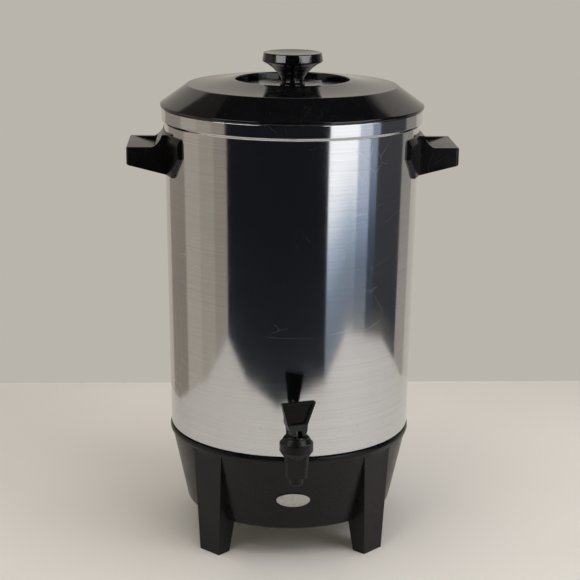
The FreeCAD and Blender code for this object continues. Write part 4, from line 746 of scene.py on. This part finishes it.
finishOf = {
    "inner": ["coffee_basket", "basket_cover", "pump_tube", "pump_foot", "main_heater", "drip_ring"],
    "steel": ["heating_well", "handle_screws", "faucet_stem", "wear_washer", "lever_pin", "valve_disc"],
    "plated": ["base_studs", "base_nuts", "base_cover", "cover_screws", "heater_clamp", "well_nuts", "heat_shield",
               "thermostat_screws", "thermal_fuse", "fuse_clip", "inlet_pins", "inlet_screws", "shank_nut",
               "lid_screws", "knob_screw"],
    "silicone": ["handle_washers", "well_gasket", "seat_cup", "outer_gasket", "inner_gasket"],
    "base": ["inlet_block"],
    "ceramic": ["thermostat"],
    "mica": ["warmer_band"],
    "sleeve": ["lead_wires"],
}
for finish, names in finishOf.items():
    for name in names:
        for slot in nodes[name].material_slots:
            slot.material = surfaces[finish]
print("finishes given to the CAD nodes")


# Stage: a pale table top, the dim room and bright window that the metal mirrors, and soft lights

stageSizes = {
    "tableBack": 381.0,      # far edge of the table top behind the axis
    "tableSide": 2600.0,
    "tableFront": 2600.0,
    "screenSteps": 48,
    "screenPlan": [(-180, 400), (-120, 400), (-80, 500), (-57.7, 661), (-39.4, 529), (-12, 455), (28.5, 532),
                   (47.7, 695), (86, 650), (120, 480), (180, 400)],   # degrees from the front, distance
    "ceiling": 1500.0,
}


def showOnlyInMirrors(piece):
    piece.visible_camera = False
    piece.visible_diffuse = False
    piece.visible_shadow = False
    piece.visible_transmission = False
    piece.visible_volume_scatter = False


def makeTable(s):
    side, back, front = s["tableSide"] * mm, s["tableBack"] * mm, -s["tableFront"] * mm
    mesh = bpy.data.meshes.new("tableTop")
    mesh.from_pydata([(-side, front, 0), (side, front, 0), (side, back, 0), (-side, back, 0)], [], [(0, 1, 2, 3)])
    table = bpy.data.objects.new("tableTop", mesh)
    bpy.context.scene.collection.objects.link(table)
    surface, tree, shader, place = newSurface("tableCloth")
    cloud = addNode(tree, "ShaderNodeMapping", {"Vector": place, "Scale": perMm(260, 260, 260)}, "Vector")
    cloud = addNode(tree, "ShaderNodeTexNoise", {
        "Vector": cloud, "Scale": 1.0, "Detail": 2.0, "Roughness": 0.5}, "Fac")
    tone = addNode(tree, "ShaderNodeMix", {
        0: cloud, 6: linear("#cbc6bf"), 7: linear("#d6d2cc")}, 2, data_type="RGBA")
    weave = addNode(tree, "ShaderNodeMapping", {"Vector": place, "Scale": perMm(0.8, 0.8, 0.8)}, "Vector")
    weave = addNode(tree, "ShaderNodeTexNoise", {
        "Vector": weave, "Scale": 1.0, "Detail": 2.0, "Roughness": 0.6}, "Fac")
    bump = addNode(tree, "ShaderNodeBump", {"Height": weave, "Distance": 0.02 * mm, "Strength": 1.0}, "Normal")
    setInputs(tree, shader, {"Base Color": tone, "Roughness": 0.75, "Normal": bump})
    mesh.materials.append(surface)


def makeScreen(s, name, fromDeg, toDeg, lowZ, highZ, strength, stops, nearer=0.0):
    # part of a tall round screen that only reflections see; stops are (height, colour) from the table up,
    # and nearer brings a pane in front of the screens
    steps = s["screenSteps"]
    plan = s["screenPlan"]
    points = []
    for i in range(steps + 1):
        turn = fromDeg + (toDeg - fromDeg) * i / steps
        (lowDeg, lowRadius), (highDeg, highRadius) = next(
            pair for pair in zip(plan, plan[1:]) if pair[0][0] <= turn <= pair[1][0])
        radius = (lowRadius + (highRadius - lowRadius) * (turn - lowDeg) / (highDeg - lowDeg) - nearer) * mm
        angle = math.radians(turn)
        for z in (lowZ * mm, highZ * mm):
            points.append((radius * math.sin(angle), -radius * math.cos(angle), z))
    faces = [(2 * i, 2 * i + 1, 2 * i + 3, 2 * i + 2) for i in range(steps)]
    mesh = bpy.data.meshes.new(name)
    mesh.from_pydata(points, [], faces)
    screen = bpy.data.objects.new(name, mesh)
    bpy.context.scene.collection.objects.link(screen)
    surface = bpy.data.materials.new(name)
    surface.use_nodes = True
    tree = surface.node_tree
    tree.nodes.clear()
    place = addNode(tree, "ShaderNodeTexCoord", out="Object")
    height = addNode(tree, "ShaderNodeSeparateXYZ", {"Vector": place}, "Z")
    share = addNode(tree, "ShaderNodeMapRange", {"Value": height, "From Max": highZ * mm}, "Result")
    ramp = addNode(tree, "ShaderNodeValToRGB", {"Fac": share})
    bands = ramp.color_ramp.elements
    while len(bands) > 1:
        bands.remove(bands[-1])
    for i, (z, colour) in enumerate(stops):
        band = bands[0] if i == 0 else bands.new(z / highZ)
        band.position = z / highZ
        band.color = linear(colour)
    glow = addNode(tree, "ShaderNodeEmission", {"Color": ramp.outputs["Color"], "Strength": strength})
    addNode(tree, "ShaderNodeOutputMaterial", {"Surface": glow.outputs["Emission"]})
    mesh.materials.append(surface)
    showOnlyInMirrors(screen)


makeTable(stageSizes)
screens = [
    # name, from and to in degrees, lowest and highest point, strength, (height, colour) stops
    ("roomScreen", -57.7, 27.5, 0, 900, 1.0, [(0, "#2c3036"), (60, "#232529"), (180, "#1b1c20"), (900, "#1a1a1d")]),
    ("windowScreen", 27.5, 54.0, 0, 900, 1.4, [(0, "#7e8082"), (37, "#6e7580"), (85, "#78838f"), (132, "#a4b0bf"),
                                               (179, "#e8eaee"), (214, "#ffffff"), (420, "#ffffff"), (520, "#505256")]),
    ("windowSide", 54.0, 66.0, 0, 900, 1.0, [(0, "#8a8886"), (37, "#7c828b"), (85, "#747e8f"), (132, "#9fadc3"),
                                             (179, "#c8d2e2"), (214, "#dde3ee"), (420, "#dde3ee"), (520, "#505256")]),
    ("windowEdge", 66.0, 74.0, 0, 900, 1.0, [(0, "#5a5c60"), (37, "#454a52"), (85, "#3f4754"), (132, "#565f6d"),
                                             (179, "#77869a"), (214, "#949fb2"), (420, "#949fb2"), (520, "#505256")]),
    ("doorScreen", 74.0, 106.0, 0, 900, 1.0, [(0, "#6a6762"), (40, "#3c3d42"), (250, "#48474a"), (900, "#34353a")]),
    ("sideRight", 106.0, 125.0, 0, 900, 1.0, [(0, "#a8a199"), (120, "#a29d96"), (400, "#8d8983"), (540, "#4c4a48")]),
    ("backRight", 125.0, 180.0, 0, 900, 1.0, [(0, "#c4beb5"), (120, "#c2bcb2"), (400, "#c4beb5"), (740, "#d6d1c9"),
                                              (860, "#5c5955")]),
    ("sideLeft", -70.0, -57.7, 0, 900, 1.0, [(0, "#a39a8f"), (120, "#9d9389"), (420, "#9d9389"), (540, "#3c3a38")]),
    ("curtainLeft", -85.0, -70.0, 0, 900, 1.0, [(0, "#b0a89b"), (120, "#aaa295"), (420, "#aaa295"), (540, "#3c3a38")]),
    ("curtainFold", -104.0, -85.0, 0, 900, 1.0, [(0, "#b9afa2"), (120, "#b5ab9e"), (420, "#b5ab9e"),
                                                 (540, "#45423f")]),
    ("curtainShade", -135.0, -104.0, 0, 900, 1.0, [(0, "#948b80"), (120, "#8f867b"), (400, "#9d9389"),
                                                   (560, "#5c5852")]),
    ("backLeft", -180.0, -135.0, 0, 900, 1.0, [(0, "#b8b0a3"), (400, "#bdb6ab"), (740, "#d6d1c9"), (860, "#5c5955")]),
    # two high panes in front of the screens, for the glints on the side of the knob
    ("paneLeft", -70.0, -30.0, 485, 650, 5.0, [(0, "#ffffff")], 12.0),
    ("paneRight", 23.0, 74.0, 500, 680, 5.0, [(0, "#ffffff")], 12.0),
]
for screen in screens:
    makeScreen(stageSizes, *screen)


def makeCeiling(s):
    reach = s["tableSide"] * mm
    mesh = bpy.data.meshes.new("ceiling")
    corners = [(-1, -1), (1, -1), (1, 1), (-1, 1)]
    mesh.from_pydata([(x * reach, y * reach, s["ceiling"] * mm) for x, y in corners], [], [(0, 3, 2, 1)])
    ceiling = bpy.data.objects.new("ceiling", mesh)
    bpy.context.scene.collection.objects.link(ceiling)
    surface = bpy.data.materials.new("ceiling")
    surface.use_nodes = True
    surface.node_tree.nodes.clear()
    glow = addNode(surface.node_tree, "ShaderNodeEmission", {"Color": linear("#2a2a2c"), "Strength": 1.0})
    addNode(surface.node_tree, "ShaderNodeOutputMaterial", {"Surface": glow.outputs["Emission"]})
    mesh.materials.append(surface)
    showOnlyInMirrors(ceiling)


makeCeiling(stageSizes)


def makeWorld():
    # pale wall for the camera and for reflections, a soft even fill for everything else
    world = bpy.data.worlds.new("studio")
    bpy.context.scene.world = world
    world.use_nodes = True
    tree = world.node_tree
    tree.nodes.clear()
    path = addNode(tree, "ShaderNodeLightPath").outputs
    seen = addNode(tree, "ShaderNodeMath", {
        0: path["Is Camera Ray"], 1: path["Is Glossy Ray"]}, "Value", operation="MAXIMUM")
    seen = addNode(tree, "ShaderNodeMath", {0: seen, 1: path["Is Transmission Ray"]}, "Value", operation="MAXIMUM")
    wall = addNode(tree, "ShaderNodeBackground", {"Color": linear("#bab5ac"), "Strength": 1.0})
    fill = addNode(tree, "ShaderNodeBackground", {"Color": linear("#f4f2ee"), "Strength": 0.45})
    both = addNode(tree, "ShaderNodeMixShader", {0: seen, 1: fill.outputs[0], 2: wall.outputs[0]})
    addNode(tree, "ShaderNodeOutputWorld", {"Surface": both.outputs[0]})


def makeLight(name, place, aim, width, depth, watts, colour, mirrored):
    lamp = bpy.data.lights.new(name, "AREA")
    lamp.shape = "RECTANGLE"
    lamp.size = width * mm
    lamp.size_y = depth * mm
    lamp.energy = watts
    lamp.color = linear(colour)[:3]
    light = bpy.data.objects.new(name, lamp)
    bpy.context.scene.collection.objects.link(light)
    start = Vector(place) * mm
    light.rotation_euler = (Vector(aim) * mm - start).to_track_quat("-Z", "Y").to_euler()
    light.location = start
    light.visible_glossy = mirrored


makeWorld()
lights = [
    # name, place, aim, width, depth, watts, colour, seen in reflections
    ("overhead", (0, -200, 1700), (0, 0, 150), 1300, 1300, 16, "#fffaf4", False),
    ("windowRight", (1100, -700, 900), (0, 0, 200), 700, 900, 8, "#f4f8ff", False),
    ("lampLeft", (-500, -900, 1150), (0, 0, 330), 420, 160, 2.0, "#fff8ee", False),
    ("lampRight", (350, -750, 1250), (0, 0, 330), 200, 200, 1.0, "#ffffff", True),
]
for light in lights:
    makeLight(*light)
bpy.context.scene.view_settings.view_transform = "Standard"
print("stage and lights made")
